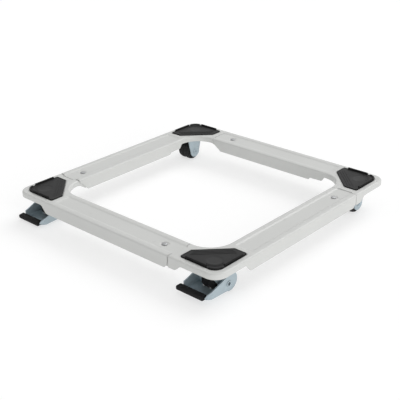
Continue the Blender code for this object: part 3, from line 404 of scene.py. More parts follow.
class Nodes:
    """A tree of nodes that is built up from values."""

    def __init__(self, group):
        self.group = group

    def node(self, kind, inputs=(), output=0, **settings):
        """Add a node, give it its settings, then its inputs, and return one output."""
        made = self.group.nodes.new(kind)
        for key, value in settings.items():
            setattr(made, key, value)
        for key, value in dict(inputs).items():
            self.feed(made.inputs[key], value)
        return Value(self, made.outputs[output])

    def feed(self, socket, value):
        """Link a value or several values to a socket, or set it there."""
        if isinstance(value, list):
            for each in value:
                self.feed(socket, each)
        elif isinstance(value, Value):
            self.group.links.new(value.socket, socket)
        else:
            socket.default_value = value

    def vector(self, operation, first, second):
        """Return the result of one operation on two vectors."""
        return self.node("ShaderNodeVectorMath", {0: first, 1: second}, operation=operation)

    def mix(self, factor, first, second):
        """Return a colour between two colours."""
        return self.node("ShaderNodeMix", {0: factor, 6: first, 7: second}, 2, data_type="RGBA")


class Shaper(Nodes):
    """The nodes of one geometry tree with its named sizes."""

    def __init__(self, name, sizes):
        super().__init__(bpy.data.node_groups.new(name, "GeometryNodeTree"))
        face = self.group.interface
        self.keys = {}
        for key, kind in {"Base": "Geometry", **sizes, "Finish": "Material"}.items():
            socket = face.new_socket(key, in_out="INPUT", socket_type="NodeSocket" + kind)
            self.keys[key] = socket.identifier
        face.new_socket("Shape", in_out="OUTPUT", socket_type="NodeSocketGeometry")
        self.start = self.group.nodes.new("NodeGroupInput")

    def given(self, key):
        """Return one of the tree's named inputs."""
        return Value(self, self.start.outputs[key])

    def close(self, shape):
        """End the tree with real copies in their finish."""
        real = self.node("GeometryNodeRealizeInstances", {"Geometry": shape})
        shown = self.node("GeometryNodeSetMaterial", {"Geometry": real, "Material": self.given("Finish")})
        self.feed(self.group.nodes.new("NodeGroupOutput").inputs["Shape"], shown)

    def step(self, slot, sizes):
        """Return the step that runs the tree on a mesh."""
        named = {"Finish": MATERIALS[slot], **sizes}
        settings = {self.keys[key]: value for key, value in named.items()}
        return ("NODES", {"node_group": self.group, **settings})


class Look(Nodes):
    """The nodes of one material."""

    def __init__(self, name):
        self.material = bpy.data.materials.new(name)
        self.material.use_nodes = True
        super().__init__(self.material.node_tree)
        self.shader = self.group.nodes["Principled BSDF"]

    def set(self, **inputs):
        """Feed the shader's own inputs, named with underscores for spaces."""
        for key, value in inputs.items():
            self.feed(self.shader.inputs[key.replace("_", " ")], value)

    def place(self):
        """Return the place on the piece."""
        return self.node("ShaderNodeTexCoord", output="Object")

    def insets(self):
        """Return the distances inwards from the nearest two sides of the base at rest."""
        insets = []
        for axis, middle in (("X", 0), ("Y", FRAME_Y)):
            off = self.node("ShaderNodeSeparateXYZ", {0: self.place()}, axis) - middle
            insets.append(HALF_SIDE - off.math("ABSOLUTE", off))
        return insets

    def noise(self, scale, detail, stretch=EVEN):
        """Return noise between 0 and 1 at a scale in cycles for each metre."""
        spread = self.vector("MULTIPLY", self.place(), stretch)
        return self.node("ShaderNodeTexNoise", {"Vector": spread, "Scale": scale, "Detail": detail})

    def flakes(self):
        """Return the brightness of the random cells of a plating."""
        sizes = {"Vector": self.place(), "Scale": FLAKES_PER_METRE}
        return self.node("ShaderNodeSeparateXYZ", {0: self.node("ShaderNodeTexVoronoi", sizes, "Color")})

    def worn(self):
        """Return 1 on the middle of a pad, where shade is painted into the colour, and 0 elsewhere."""
        off = {index: inset - PAD_SHADE_INSET for index, inset in enumerate(self.insets())}
        spread = self.node("ShaderNodeCombineXYZ", off)
        reach = self.node("ShaderNodeVectorMath", {0: spread}, "Value", operation="LENGTH")
        return 1 - reach.over(PAD_SHADE_RADIUS - PAD_RIB_PITCH / 2, PAD_SHADE_RADIUS + PAD_RIB_PITCH / 2)

    def lips(self):
        """Return 1 on the lips of a pad, where shade is painted into the colour, and 0 elsewhere."""
        x, y = self.insets()
        lip = PAD_MARGIN + LIP_THICKNESS
        start = PAD_MARGIN + LIP_START
        outward = 1 - x.math("MINIMUM", x, y).over(lip, lip + HARD_EDGE)
        return outward * x.math("MAXIMUM", x, y).over(start - HARD_EDGE, start)

    def layer(self, name):
        """Return a layer's pattern, from 0 where it is absent to 1 where it is full."""
        if name in PATTERNS:
            *noise, start, full = PATTERNS[name]
            return self.noise(*noise).over(start, full)
        drawn = {"metal_flakes": self.flakes, "pad_worn": self.worn, "pad_lips": self.lips}
        return drawn[name]()

    def grain(self, scale, detail, depth, strength):
        """Link a fine grain to the shader as a bump."""
        sizes = {"Height": self.noise(scale, detail), "Distance": depth, "Strength": strength}
        self.set(Normal=self.node("ShaderNodeBump", sizes))


def toned(colour, tone):
    """Return a colour made lighter or darker, and opaque."""
    return (*[channel * tone for channel in colour], 1)


def grey(level):
    """Return an opaque grey."""
    return (level, level, level, 1)


def make_finish(name):
    """Return the procedural material of a slot."""
    kind, colour, roughness, metallic, _ = FINISHES[name]
    grain, shine, bare, layers = LOOKS[kind]
    look = Look(name)
    shown = toned(colour, bare)
    for layer, tone, cover, rougher in layers:
        pattern = look.layer(layer)
        shown = look.mix(pattern * cover, shown, toned(colour, tone))
        roughness = pattern * rougher + roughness
    look.set(Base_Color=shown, Roughness=roughness, Metallic=metallic, Specular_IOR_Level=shine)
    look.grain(*grain)
    return look.material


MATERIALS = {name: make_finish(name) for name in FINISHES}


def between(low, high, share):
    """Return the value at a share of the way from low to high."""
    return low + (high - low) * share


def swell(share):
    """Return a smooth step from 0 to 1."""
    held = min(max(share, 0), 1)
    return held * held * (3 - 2 * held)


def steps_to(count):
    """Return equal shares from 0 to 1."""
    return [step / count for step in range(count + 1)]


def places_along(start, length, count):
    """Return equal steps from a place over a length."""
    return [start + length * share for share in steps_to(count)]


def arc(centre, radius, start, end, steps, rise=None):
    """Return points on an arc in a plane, its angles in degrees, with its rise if it isn't round."""
    angles = [radians(between(start, end, share)) for share in steps_to(steps)]
    return [(centre[0] + radius * cos(angle), centre[1] + (rise or radius) * sin(angle)) for angle in angles]


def ring(centre, radius, steps):
    """Return points on a whole circle."""
    return arc(centre, radius, 0, 360, steps)[:-1]


def mirrored(upper):
    """Return a profile whose lower half mirrors its upper half."""
    return upper + [(radius, -place) for radius, place in reversed(upper)]


def flipped(left):
    """Return the right half that mirrors a left half, on from its middle."""
    return [(-across, height) for across, height in reversed(left)]


def at_height(outline, height):
    """Return plane points as space points at one height."""
    return [(point[0], point[1], height) for point in outline]


def crossings(spot, points, edges):
    """Return how many edges of an outline a line from a spot to the far right crosses."""
    count = 0
    for first, second in edges:
        low, high = sorted((points[first], points[second]), key=lambda point: point.y)
        if low.y <= spot.y < high.y:
            share = (spot.y - low.y) / (high.y - low.y)
            count += between(low.x, high.x, share) > spot.x
    return count


class Surface:
    """A surface that is gathered face by face and then welded."""

    def __init__(self):
        self.bm = bmesh.new()

    def grid(self, rows, left_out=()):
        """Join rows of equally many points with four-sided faces."""
        made = [[self.bm.verts.new(point) for point in row] for row in rows]
        for row, (low, high) in enumerate(zip(made, made[1:])):
            for left in range(len(low) - 1):
                if (row, left) not in left_out:
                    self.bm.faces.new((low[left], low[left + 1], high[left + 1], high[left]))

    def rings(self, loops):
        """Join closed loops of equally many points one after the other."""
        self.grid([list(loop) + [loop[0]] for loop in loops])

    def fill(self, *loops):
        """Fill an outline in a plane across X or Z, whose further loops are holes."""
        points = [Vector(point) for loop in loops for point in loop]
        flat_x = max(point.x for point in points) - min(point.x for point in points) < WELD
        plane = [point.yz if flat_x else point.xy for point in points]
        edges = []
        for loop in loops:
            first = len(edges)
            edges += [(first + index, first + (index + 1) % len(loop)) for index in range(len(loop))]
        spots, _, triangles, sources, _, _ = delaunay_2d_cdt(plane, edges, [], 1, WELD)
        made = [self.bm.verts.new(points[source[0]]) for source in sources]
        for triangle in triangles:
            middle = sum((spots[index] for index in triangle), Vector((0, 0))) / 3
            if crossings(middle, plane, edges) % 2:
                self.bm.faces.new([made[index] for index in triangle])

    def block(self, middle, size):
        """Add a box round a place, and return the surface."""
        place = Matrix.LocRotScale(Vector(middle), None, Vector(size))
        bmesh.ops.create_cube(self.bm, size=1, matrix=place)
        return self

    def mesh(self, outward=None):
        """Weld the faces, turn them outwards and return the mesh."""
        bmesh.ops.remove_doubles(self.bm, verts=self.bm.verts, dist=WELD)
        bmesh.ops.dissolve_degenerate(self.bm, edges=self.bm.edges, dist=WELD)
        bmesh.ops.recalc_face_normals(self.bm, faces=self.bm.faces)
        if outward:
            facing = sum(face.normal.dot(outward) * face.calc_area() for face in self.bm.faces)
            if facing < 0:
                bmesh.ops.reverse_faces(self.bm, faces=self.bm.faces)
        made = bpy.data.meshes.new("surface")
        self.bm.to_mesh(made)
        self.bm.free()
        return made

    def piece(self, *steps, outward=None):
        """Return the welded mesh after its steps."""
        return applied(self.mesh(outward), *steps)


def linked(name, data):
    """Return a new object in the scene."""
    made = bpy.data.objects.new(name, data)
    bpy.context.scene.collection.objects.link(made)
    return made


def applied(mesh, *steps):
    """Return the mesh after modifiers given as pairs of type and settings."""
    carrier = linked("carrier", mesh)
    for kind, settings in steps:
        modifier = carrier.modifiers.new(kind, kind)
        for key, value in settings.items():
            if hasattr(modifier, key):
                setattr(modifier, key, value)
            else:
                modifier[key] = value
    graph = bpy.context.evaluated_depsgraph_get()
    made = bpy.data.meshes.new_from_object(carrier.evaluated_get(graph), depsgraph=graph)
    bpy.data.objects.remove(carrier)
    return made


def wall_step(thickness):
    """Return the step that gives an open surface its wall, inwards."""
    return ("SOLIDIFY", {
        "thickness": thickness, "offset": -1, "use_even_offset": True, "use_quality_normals": True})


def edge_step(width, segments=2):
    """Return the step that rounds sharp edges."""
    return ("BEVEL", {
        "width": width, "segments": segments, "limit_method": "ANGLE",
        "angle_limit": radians(EDGE_ANGLE), "use_clamp_overlap": True})


def cut(mesh, block):
    """Return the mesh with a surface cut away."""
    tool = linked("tool", block.mesh())
    made = applied(mesh, ("BOOLEAN", {"operation": "DIFFERENCE", "object": tool, "solver": "EXACT"}))
    bpy.data.objects.remove(tool)
    return made


def joined(*meshes):
    """Return several bodies as one mesh."""
    bm = bmesh.new()
    for mesh in meshes:
        bm.from_mesh(mesh)
    made = bpy.data.meshes.new("joined")
    bm.to_mesh(made)
    bm.free()
    return made


def paths_mesh(paths):
    """Return open paths of points as a mesh of edges."""
    points = [point for path in paths for point in path]
    edges = []
    first = 0
    for path in paths:
        edges += [(first + index, first + index + 1) for index in range(len(path) - 1)]
        first += len(path)
    made = bpy.data.meshes.new("paths")
    made.from_pydata(points, edges, [])
    return made


def rib_shaper():
    """Return the tree that sets equal ribs round an arc on a piece."""
    sizes = {"Count": "Int", "Radius": "Float", "Start": "Float", "Step": "Float", "Rib": "Vector",
             "Middle": "Vector"}
    tree = Shaper("ribs_round_an_arc", sizes)
    rib = tree.node("GeometryNodeMeshCube", {"Size": tree.given("Rib")})
    line = tree.node("GeometryNodeMeshLine", {"Count": tree.given("Count")})
    angle = tree.node("GeometryNodeInputIndex") * tree.given("Step") + tree.given("Start")
    across = angle.math("COSINE", angle) * tree.given("Radius")
    along = angle.math("SINE", angle) * tree.given("Radius")
    spot = tree.node("ShaderNodeCombineXYZ", {"X": across, "Y": along})
    place = tree.vector("ADD", spot, tree.given("Middle"))
    spread = tree.node("GeometryNodeSetPosition", {"Geometry": line, "Position": place})
    turn = tree.node("ShaderNodeCombineXYZ", {"Z": angle})
    copies = tree.node("GeometryNodeInstanceOnPoints", {"Points": spread, "Instance": rib, "Rotation": turn})
    tree.close(tree.node("GeometryNodeJoinGeometry", {0: [tree.given("Base"), copies]}))
    return tree


def ridge_shaper():
    """Return the tree that raises a ridge along every path of its base."""
    tree = Shaper("ridges_along_paths", {"Width": "Float", "Height": "Float"})
    path = tree.node("GeometryNodeMeshToCurve", {"Mesh": tree.given("Base")})
    level = tree.node("GeometryNodeSetCurveNormal", {"Curve": path}, mode="Z_UP")
    section = tree.node("GeometryNodeCurvePrimitiveQuadrilateral",
                        {"Width": tree.given("Width"), "Height": tree.given("Height")})
    sizes = {"Curve": level, "Profile Curve": section, "Fill Caps": True}
    tree.close(tree.node("GeometryNodeCurveToMesh", sizes))
    return tree


def coat(mesh, node):
    """Give a mesh the finish of a CAD node, and return its slot."""
    slot = next(slot for slot, finish in FINISHES.items() if node.startswith(finish[-1]))
    mesh.materials.clear()
    mesh.materials.append(MATERIALS[slot])
    return slot


def show(piece, part, name, mesh, place):
    """Put a finished mesh in the world in place of the CAD node of a part with this name."""
    node = f"{part}_{name}"
    slot = coat(mesh, node)
    mesh.transform(place)
    mesh.shade_smooth()
    mesh.set_sharp_from_angle(angle=radians(SMOOTH_ANGLE))
    shading = ("WEIGHTED_NORMAL", {"keep_sharp": True, "weight": NORMAL_WEIGHT})
    shown = linked(f"{piece}_{name}", applied(mesh, shading))
    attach(shown, BODY_OF[node])
    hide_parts(node)


RIBS = rib_shaper()
RIDGES = ridge_shaper()


# Pressed corner. Its frame has the outer corner at the origin, P along the outer arm
# and Q along the inner arm. Depths are below the top of the plate.

def wall_side(inset, drop, depth):
    """Return the points up a wall and over its bend as (place across, height)."""
    high = PLATE_TOP - drop - BEND_RADIUS
    points = [(inset, between(PLATE_TOP - depth, high, share)) for share in WALL_SHARES]
    return points + arc((inset + BEND_RADIUS, high), BEND_RADIUS, 180, 90, BEND_STEPS)


def arm_section(inset, drop, sunk, outer_depth, inner_depth):
    """Return the points across an arm as (place across, height), outer edge first."""
    slope = [(RIM_WIDTH + BAND_SLOPE * share, PLATE_TOP - drop - sunk * swell(share))
             for share in steps_to(SLOPE_STEPS)]
    outer, inner = [wall_side(inset, drop, depth) + slope for depth in (outer_depth, inner_depth)]
    return outer + [(ARM_WIDTH - across, height) for across, height in reversed(inner)]


def tongue_share(across):
    """Return how much of the tongue's length a place across the arm has."""
    near = swell((across - RIM_WIDTH) / BAND_SLOPE)
    far = swell((ARM_WIDTH - RIM_WIDTH - across) / BAND_SLOPE)
    return near * far


def end_shift(name):
    """Return the rule for how far a corner's outer arm's open end stands off its own place."""
    on, back, _ = SEAMS[name]

    def shift(across, height):
        """Return the shift of one point of the end."""
        depth = (PLATE_TOP - height - BEND_RADIUS) / (ARM_WALL_DEPTH - BEND_RADIUS)
        if depth <= 0:
            return on + SEAM_TONGUE * tongue_share(across)
        if across < ARM_WIDTH / 2:
            return -back - OUTER_END_CUT * depth ** OUTER_END_POWER
        return -INNER_END_CUT * depth

    return shift


def seam_shift(across, height):
    """Return how far the corner's seam stands off its own place."""
    return -SEAM_TONGUE * tongue_share(across)


def arm_row(place, section, shift=lambda across, height: 0):
    """Return a row of points of the outer arm, moved along by a rule."""
    return [(place + shift(across, height), across, height) for across, height in section]


def rail_row(place, section, *shift):
    """Return a row of points of the inner arm."""
    return [(across, along, height) for along, across, height in arm_row(place, section, *shift)]


def add_arm(surface, rows, hole):
    """Add an arm's rows, with a hole in its band between the last rows but one."""
    cell = len(rows) - 3
    surface.grid(rows, {(cell, BAND_INDEX)})
    near, far = [row[BAND_INDEX:BAND_INDEX + 2] for row in rows[cell:cell + 2]]
    surface.fill(near + far[::-1], at_height(hole, near[0][2]))


def wall_depth(place, start, length, shallow, deep):
    """Return the depth at a place of a wall that swells from shallow to deep over a length."""
    return between(shallow, deep, swell((place - start) / length))


def inner_wall_depth(place):
    """Return the depth of the outer arm's inner wall at a place along it."""
    shallow = wall_depth(place, ARM_START, INNER_SWELL_LENGTH, SKIRT_DEPTH, INNER_SHALLOW_DEPTH)
    step = ARM_WALL_DEPTH - INNER_SHALLOW_DEPTH
    return wall_depth(place, INNER_STEP_START, INNER_STEP_LENGTH, shallow, shallow + step)


def outer_arm(surface, name):
    """Add the outer arm with its dimple for the clamp screw."""
    places = places_along(ARM_START, INNER_SWELL_LENGTH, SWELL_STEPS)
    places += places_along(INNER_STEP_START, INNER_STEP_LENGTH, SWELL_STEPS // 2)
    places += [SCREW_ALONG - DIMPLE_MARGIN, SCREW_ALONG + DIMPLE_MARGIN]
    rows = [arm_row(place, arm_section(0, 0, BAND_DEPTH, ARM_WALL_DEPTH, inner_wall_depth(place)))
            for place in places]
    open_end = arm_section(0, 0, BAND_DEPTH, ARM_WALL_DEPTH, ARM_WALL_DEPTH)
    rows.append(arm_row(ARM_END, open_end, end_shift(name)))
    level = PLATE_TOP - BAND_DEPTH
    middle = (SCREW_ALONG, ARM_WIDTH / 2)
    sizes = [(between(DIMPLE_RADIUS, DIMPLE_FLOOR_RADIUS, share), swell(share))
             for share in steps_to(SLOPE_STEPS)] + [(SCREW_RADIUS + GAP, 1)]
    loops = [at_height(ring(middle, radius, SMALL_TURN_STEPS), level - DIMPLE_DEPTH * sunk)
             for radius, sunk in sizes]
    add_arm(surface, rows, loops[0])
    surface.rings(loops)


def inner_arm(surface, name):
    """Add the inner arm with its joggle and slot, and return its first row."""
    flat = arm_section(0, 0, 0, RAIL_WALL_DEPTH, SKIRT_DEPTH)
    rows = [rail_row(SEAM - JOGGLE_LENGTH, flat, seam_shift)]
    for share in steps_to(SLOPE_STEPS):
        nest = NEST * swell(share)
        section = arm_section(nest, nest, BAND_DEPTH * swell(share), RAIL_WALL_DEPTH, SKIRT_DEPTH + nest)
        rows.append(rail_row(SEAM - SEAMS[name][-1] * (1 - share), section, seam_shift))
    for share in steps_to(SWELL_STEPS)[1:]:
        depth = between(SKIRT_DEPTH + NEST, RAIL_WALL_DEPTH, swell(share))
        section = arm_section(NEST, NEST, BAND_DEPTH, RAIL_WALL_DEPTH, depth)
        rows.append(rail_row(SEAM + SWELL_LENGTH * share, section))
    deep = arm_section(NEST, NEST, BAND_DEPTH, RAIL_WALL_DEPTH, RAIL_WALL_DEPTH)
    places = (SCREW_ON_RAIL - SLOT_MARGIN, SLOT_END + SLOT_MARGIN, RAIL_END)
    rows += [rail_row(place, deep) for place in places]
    half = SLOT_WIDTH / 2
    slot = arc((ARM_WIDTH / 2, SCREW_ON_RAIL), half, 180, 360, ROUND_STEPS)
    slot += arc((ARM_WIDTH / 2, SLOT_END - half), half, 0, 180, ROUND_STEPS)
    add_arm(surface, rows, slot)
    return rows[0]


def skirt_column(foot, inward, depth):
    """Return the points of the skirt at one place, lower edge first."""
    return [(foot[0] + inward[0] * across, foot[1] + inward[1] * across, height)
            for across, height in wall_side(0, 0, depth)]


def round_columns(middle, radius, start, end, side):
    """Return the columns of the skirt round an arc, its plate inside it (1) or outside it (-1)."""
    columns = []
    for foot in arc((middle, middle), radius, start, end, ROUND_STEPS):
        inward = (Vector((middle, middle)) - Vector(foot)).normalized() * side
        columns.append(skirt_column(foot, inward, SKIRT_DEPTH))
    return columns


def outer_skirt_columns():
    """Return the columns of the outer skirt from the outer arm round to the inner arm."""
    columns = []
    for place in [ARM_START] + places_along(ARM_SWELL_START, SWELL_LENGTH, SWELL_STEPS)[::-1]:
        depth = wall_depth(place, ARM_SWELL_START, SWELL_LENGTH, SKIRT_DEPTH, ARM_WALL_DEPTH)
        columns.append(skirt_column((place, 0), (0, 1), depth))
    columns += round_columns(CORNER_RADIUS, CORNER_RADIUS, 270, 180, 1)
    for place in places_along(RAIL_SWELL_START, SWELL_LENGTH, SWELL_STEPS) + [SEAM - JOGGLE_LENGTH]:
        depth = wall_depth(place, RAIL_SWELL_START, SWELL_LENGTH, SKIRT_DEPTH, RAIL_WALL_DEPTH)
        columns.append(skirt_column((0, place), (1, 0), depth))
    return columns


def inner_skirt_columns():
    """Return the columns of the inner skirt from the inner arm round to the outer arm."""
    columns = [skirt_column((ARM_WIDTH, SEAM - JOGGLE_LENGTH), (-1, 0), SKIRT_DEPTH)]
    columns += round_columns(FILLET_END, INNER_FILLET, 180, 270, -1)
    return columns + [skirt_column((ARM_START, ARM_WIDTH), (0, -1), SKIRT_DEPTH)]


def band_loops():
    """Return the lines round the sunk band's closed end, from its crest down to its floor."""
    loops = []
    for share in steps_to(SLOPE_STEPS):
        edge = RIM_WIDTH + BAND_SLOPE * share
        radius = BAND_END_ROUND - BAND_SLOPE * share
        half = [(ARM_START, edge)]
        half += arc((BAND_END + BAND_END_ROUND, edge + radius), radius, 270, 180, BEND_STEPS)
        points = half + [(along, ARM_WIDTH - across) for along, across in reversed(half)]
        loops.append(at_height(points, PLATE_TOP - BAND_DEPTH * swell(share)))
    return loops


def pad_loop(distance):
    """Return the pad's rounded outline moved outwards by a distance."""
    near = PAD_MARGIN
    outline = [(near, near), (PAD_FAR, near), (PAD_FAR, PAD_SLANT), (PAD_SLANT, PAD_FAR), (near, PAD_FAR)]
    rounds = [(PAD_CORNER_RADIUS, ROUND_STEPS)] + [(PAD_EDGE_RADIUS, BEND_STEPS)] * 4
    points = []
    for index, (radius, steps) in enumerate(rounds):
        corner, last, following = [Vector(outline[(index + step) % len(outline)]) for step in (0, -1, 1)]
        back = (last - corner).normalized()
        ahead = (following - corner).normalized()
        half = back.angle(ahead) / 2
        middle = corner + (back + ahead).normalized() * radius / sin(half)
        start = (corner + back * radius / tan(half) - middle) * (1 + distance / radius)
        for share in steps_to(steps):
            points.append(tuple(middle + Matrix.Rotation((pi - 2 * half) * share, 2) @ start))
    return points


def corner_mesh(name):
    """Return one pressed corner with its wall."""
    surface = Surface()
    outer = outer_skirt_columns()
    inner = inner_skirt_columns()
    surface.grid(outer)
    surface.grid(inner)
    outer_arm(surface, name)
    seam_row = inner_arm(surface, name)
    band = band_loops()
    surface.grid(band)
    surface.fill(band[-1])
    pocket = [at_height(pad_loop(POCKET_GAP + POCKET_SLOPE * (1 - share)),
                        PLATE_TOP - POCKET_DEPTH * swell(share)) for share in steps_to(SLOPE_STEPS)]
    surface.rings(pocket)
    surface.fill(pocket[-1])
    outline = list(band[0])
    outline += [column[-1] for column in reversed(inner)]
    outline += list(reversed(seam_row[TOP_INDEX:-TOP_INDEX]))[1:-1]
    outline += [column[-1] for column in reversed(outer)]
    surface.fill(outline, pocket[0])
    return surface.piece(wall_step(SHEET), edge_step(SHEET_EDGE), outward=UP)


def pad_body():
    """Return the rubber pad with its rim and its shallow dish."""
    bottom = PLATE_TOP - POCKET_DEPTH + GAP
    top = PAD_FLOOR
    rim_top = top + PAD_RIM_HEIGHT
    soft = PAD_SOFTENING
    surface = Surface()
    profile = [(0, bottom), (0, rim_top - soft)]
    profile += arc((-soft, rim_top - soft), soft, *PAD_RIM_ANGLES, SOFT_STEPS)
    profile += [(-PAD_RIM_WIDTH + soft, rim_top), (-PAD_RIM_WIDTH, between(rim_top, top, PAD_RIM_FOOT_SHARE)),
                (-PAD_RIM_WIDTH - soft / 2, top)]
    loops = [at_height(pad_loop(distance), height) for distance, height in profile]
    surface.rings(loops)
    surface.fill(loops[0])
    centre = (PAD_SLANT, PAD_SLANT)
    dish = [at_height(ring(centre, PAD_DISH_RADIUS - PAD_DISH_SLOPE * share, TURN_STEPS),
                      top - PAD_DISH_DEPTH * swell(share)) for share in steps_to(SLOPE_STEPS)]
    surface.fill(loops[-1], dish[0])
    surface.rings(dish)
    surface.fill(dish[-1])
    return surface.mesh()


def raised_block(surface, outline, top_outline, low, high):
    """Add a closed block between an outline and its narrower top."""
    loops = [at_height(outline, low), at_height(top_outline, high)]
    surface.rings(loops)
    surface.fill(loops[0])
    surface.fill(loops[1])


def pad_lips():
    """Return the pad's two lips and the wall round its outer corner."""
    surface = Surface()
    low = PAD_FLOOR - PAD_HEIGHT / 2
    near = PAD_MARGIN
    far = near + LIP_THICKNESS
    outlines = []
    for trim in (0, LIP_END_SLOPE):
        first = near + LIP_START + trim
        last = near + LIP_START + LIP_LENGTH - trim
        outlines.append([(first, near), (last, near), (last, far), (first, far)])
    raised_block(surface, *outlines, low, PAD_FLOOR + LIP_HEIGHT)
    turned_lips = [[(across, along) for along, across in outline] for outline in outlines]
    raised_block(surface, *turned_lips, low, PAD_FLOOR + LIP_HEIGHT)
    middle = (PAD_MARGIN + PAD_CORNER_RADIUS,) * 2
    wall = arc(middle, PAD_CORNER_RADIUS, 180, 270, ROUND_STEPS)
    wall += arc(middle, PAD_CORNER_RADIUS - CORNER_WALL_THICKNESS, 270, 180, ROUND_STEPS)
    raised_block(surface, wall, wall, low, PAD_FLOOR + CORNER_WALL_HEIGHT)
    return surface.piece(edge_step(LIP_SOFTENING))


def pad_ridge_paths():
    """Return the middle lines of the pad's low ridges: by its slanted side and round its dish."""
    start = Vector((PAD_FAR, PAD_SLANT))
    end = Vector((PAD_SLANT, PAD_FAR))
    along = (end - start).normalized()
    inward = Vector((-along.y, along.x))
    paths = []
    for index in range(PAD_RIB_COUNT):
        offset = inward * (PAD_RIM_WIDTH + PAD_RIB_PITCH * (index + 1) + PAD_RIB_WIDTH / 2)
        trim = along * PAD_RIB_PITCH * (1 - index) / 2
        paths.append([tuple(start + offset + trim), tuple(end + offset - trim)])
    for index in range(PAD_ARC_COUNT):
        radius = PAD_DISH_RADIUS + PAD_ARC_PITCH * index + PAD_RIB_WIDTH
        first, last = 180 - PAD_ARC_SPREAD, 270 + PAD_ARC_SPREAD
        paths.append(arc((PAD_SLANT, PAD_SLANT), radius, first, last, TURN_STEPS // 2))
    return [at_height(path, PAD_FLOOR) for path in paths]


def pad_mesh():
    """Return the rubber pad with its rim, dish, lips, corner wall, ribs and ridges."""
    raising = RIDGES.step("pad_rubber", {"Width": PAD_RIB_WIDTH, "Height": 2 * PAD_RIB_HEIGHT})
    ridges = applied(paths_mesh(pad_ridge_paths()), raising)
    middle = PAD_MARGIN + PAD_CORNER_RADIUS
    wall = PAD_CORNER_RADIUS - CORNER_WALL_THICKNESS
    height = CORNER_WALL_HEIGHT - LIP_SOFTENING
    first = pi + WALL_RIB_MARGIN
    last = 3 * pi / 2 - WALL_RIB_MARGIN
    ribs = RIBS.step("pad_rubber", {
        "Count": WALL_RIB_COUNT, "Radius": wall - WALL_RIB_LENGTH / 2 + HARD_EDGE, "Start": first,
        "Step": (last - first) / (WALL_RIB_COUNT - 1), "Rib": (WALL_RIB_LENGTH, WALL_RIB_WIDTH, height),
        "Middle": (middle, middle, PAD_FLOOR + height / 2)})
    return joined(applied(pad_body(), ribs), pad_lips(), ridges)


# Caster. Its frame has the axle at the origin, the axle along X and the front towards -Y.

def fork_mesh(front):
    """Return a fork: a web with a cheek bent down on each side."""
    reach = FORK_FRONT_REACH if front else FORK_REACH
    drop = FORK_FRONT_EDGE_HEIGHT if front else FORK_EDGE_HEIGHT
    half = FORK_WIDTH / 2
    radius = FORK_BEND_RADIUS
    top = FORK_TOP - AXLE_HEIGHT
    web_under = top - FORK_SHEET
    edge = [(-reach, web_under - drop)]
    edge += arc((0, 0), FORK_EYE_RADIUS, 180, 360, 2 * ROUND_STEPS)
    edge.append((FORK_REACH, web_under - FORK_EDGE_HEIGHT))
    bend = arc((-half + radius, top - radius), radius, 180, 90, BEND_STEPS)
    surface = Surface()
    surface.grid([[(x, along, z) for x, z in ((-half, low), *bend, *flipped(bend), (half, low))]
                  for along, low in edge])
    return surface.piece(wall_step(FORK_SHEET), edge_step(HARD_EDGE), outward=UP)


def turned(profile, steps, closed=False):
    """Return a round piece from its profile of radius and height, its axis along Z."""
    points = profile + profile[:1] if closed else profile
    surface = Surface()
    surface.grid([[(radius * cos(angle), radius * sin(angle), height) for radius, height in points]
                  for angle in places_along(0, 2 * pi, steps)])
    return surface.mesh()


def laid(mesh):
    """Return a round piece with its axis laid along X."""
    mesh.transform(Matrix.Rotation(pi / 2, 4, "Y"))
    return mesh


def tyre_profile():
    """Return the closed profile of the twin-crowned tread."""
    half = TREAD_WIDTH / 2
    groove = TREAD_GROOVE_WIDTH / 2
    edge = WHEEL_RADIUS - TREAD_CROWN
    crown_start = half - TREAD_CROWN
    upper = [(edge - TREAD_CROWN, half)]
    upper += arc((edge - TREAD_CROWN, crown_start), TREAD_CROWN, *TREAD_SHOULDER_ANGLES, SOFT_STEPS)
    for share in steps_to(TREAD_CROWN_STEPS):
        place = between(crown_start, groove, share)
        upper.append((edge + TREAD_CROWN * (1 - (2 * share - 1) ** 2), place))
    upper += [(WHEEL_RADIUS - TREAD_GROOVE_DEPTH, place) for place in (groove / 2, 0)]
    return mirrored(upper) + [(TYRE_INNER_RADIUS, -half), (TYRE_INNER_RADIUS, half)]


def core_profile():
    """Return the closed profile of the wheel's core."""
    rim = TYRE_INNER_RADIUS - GAP / 2
    well = rim - CORE_RIM_WALL
    half = TREAD_WIDTH / 2
    hub = HUB_LENGTH / 2
    web = half - CORE_WEB_INSET
    soft = HARD_EDGE
    upper = [(AXLE_RADIUS + GAP / 2, hub), (HUB_RADIUS - soft, hub), (HUB_RADIUS, hub - soft)]
    upper += [(HUB_RADIUS, web + soft), (HUB_RADIUS + soft, web), (well - soft, web), (well, web + soft)]
    return mirrored(upper + [(well, half - soft), (well + soft, half), (rim, half)])


def core_mesh():
    """Return the wheel's core with the ribs that join its hub to its rim."""
    inside = TYRE_INNER_RADIUS - CORE_RIM_WALL
    sizes = {"Count": CORE_RIB_COUNT, "Radius": (inside + HUB_RADIUS) / 2, "Start": 0.0,
             "Step": 2 * pi / CORE_RIB_COUNT, "Middle": (0, 0, 0),
             "Rib": (inside - HUB_RADIUS + HARD_EDGE, CORE_RIB_WIDTH, TREAD_WIDTH - CORE_RIB_DROP)}
    plain = turned(core_profile(), TURN_STEPS, closed=True)
    return laid(applied(plain, RIBS.step("wheel_plastic", sizes)))


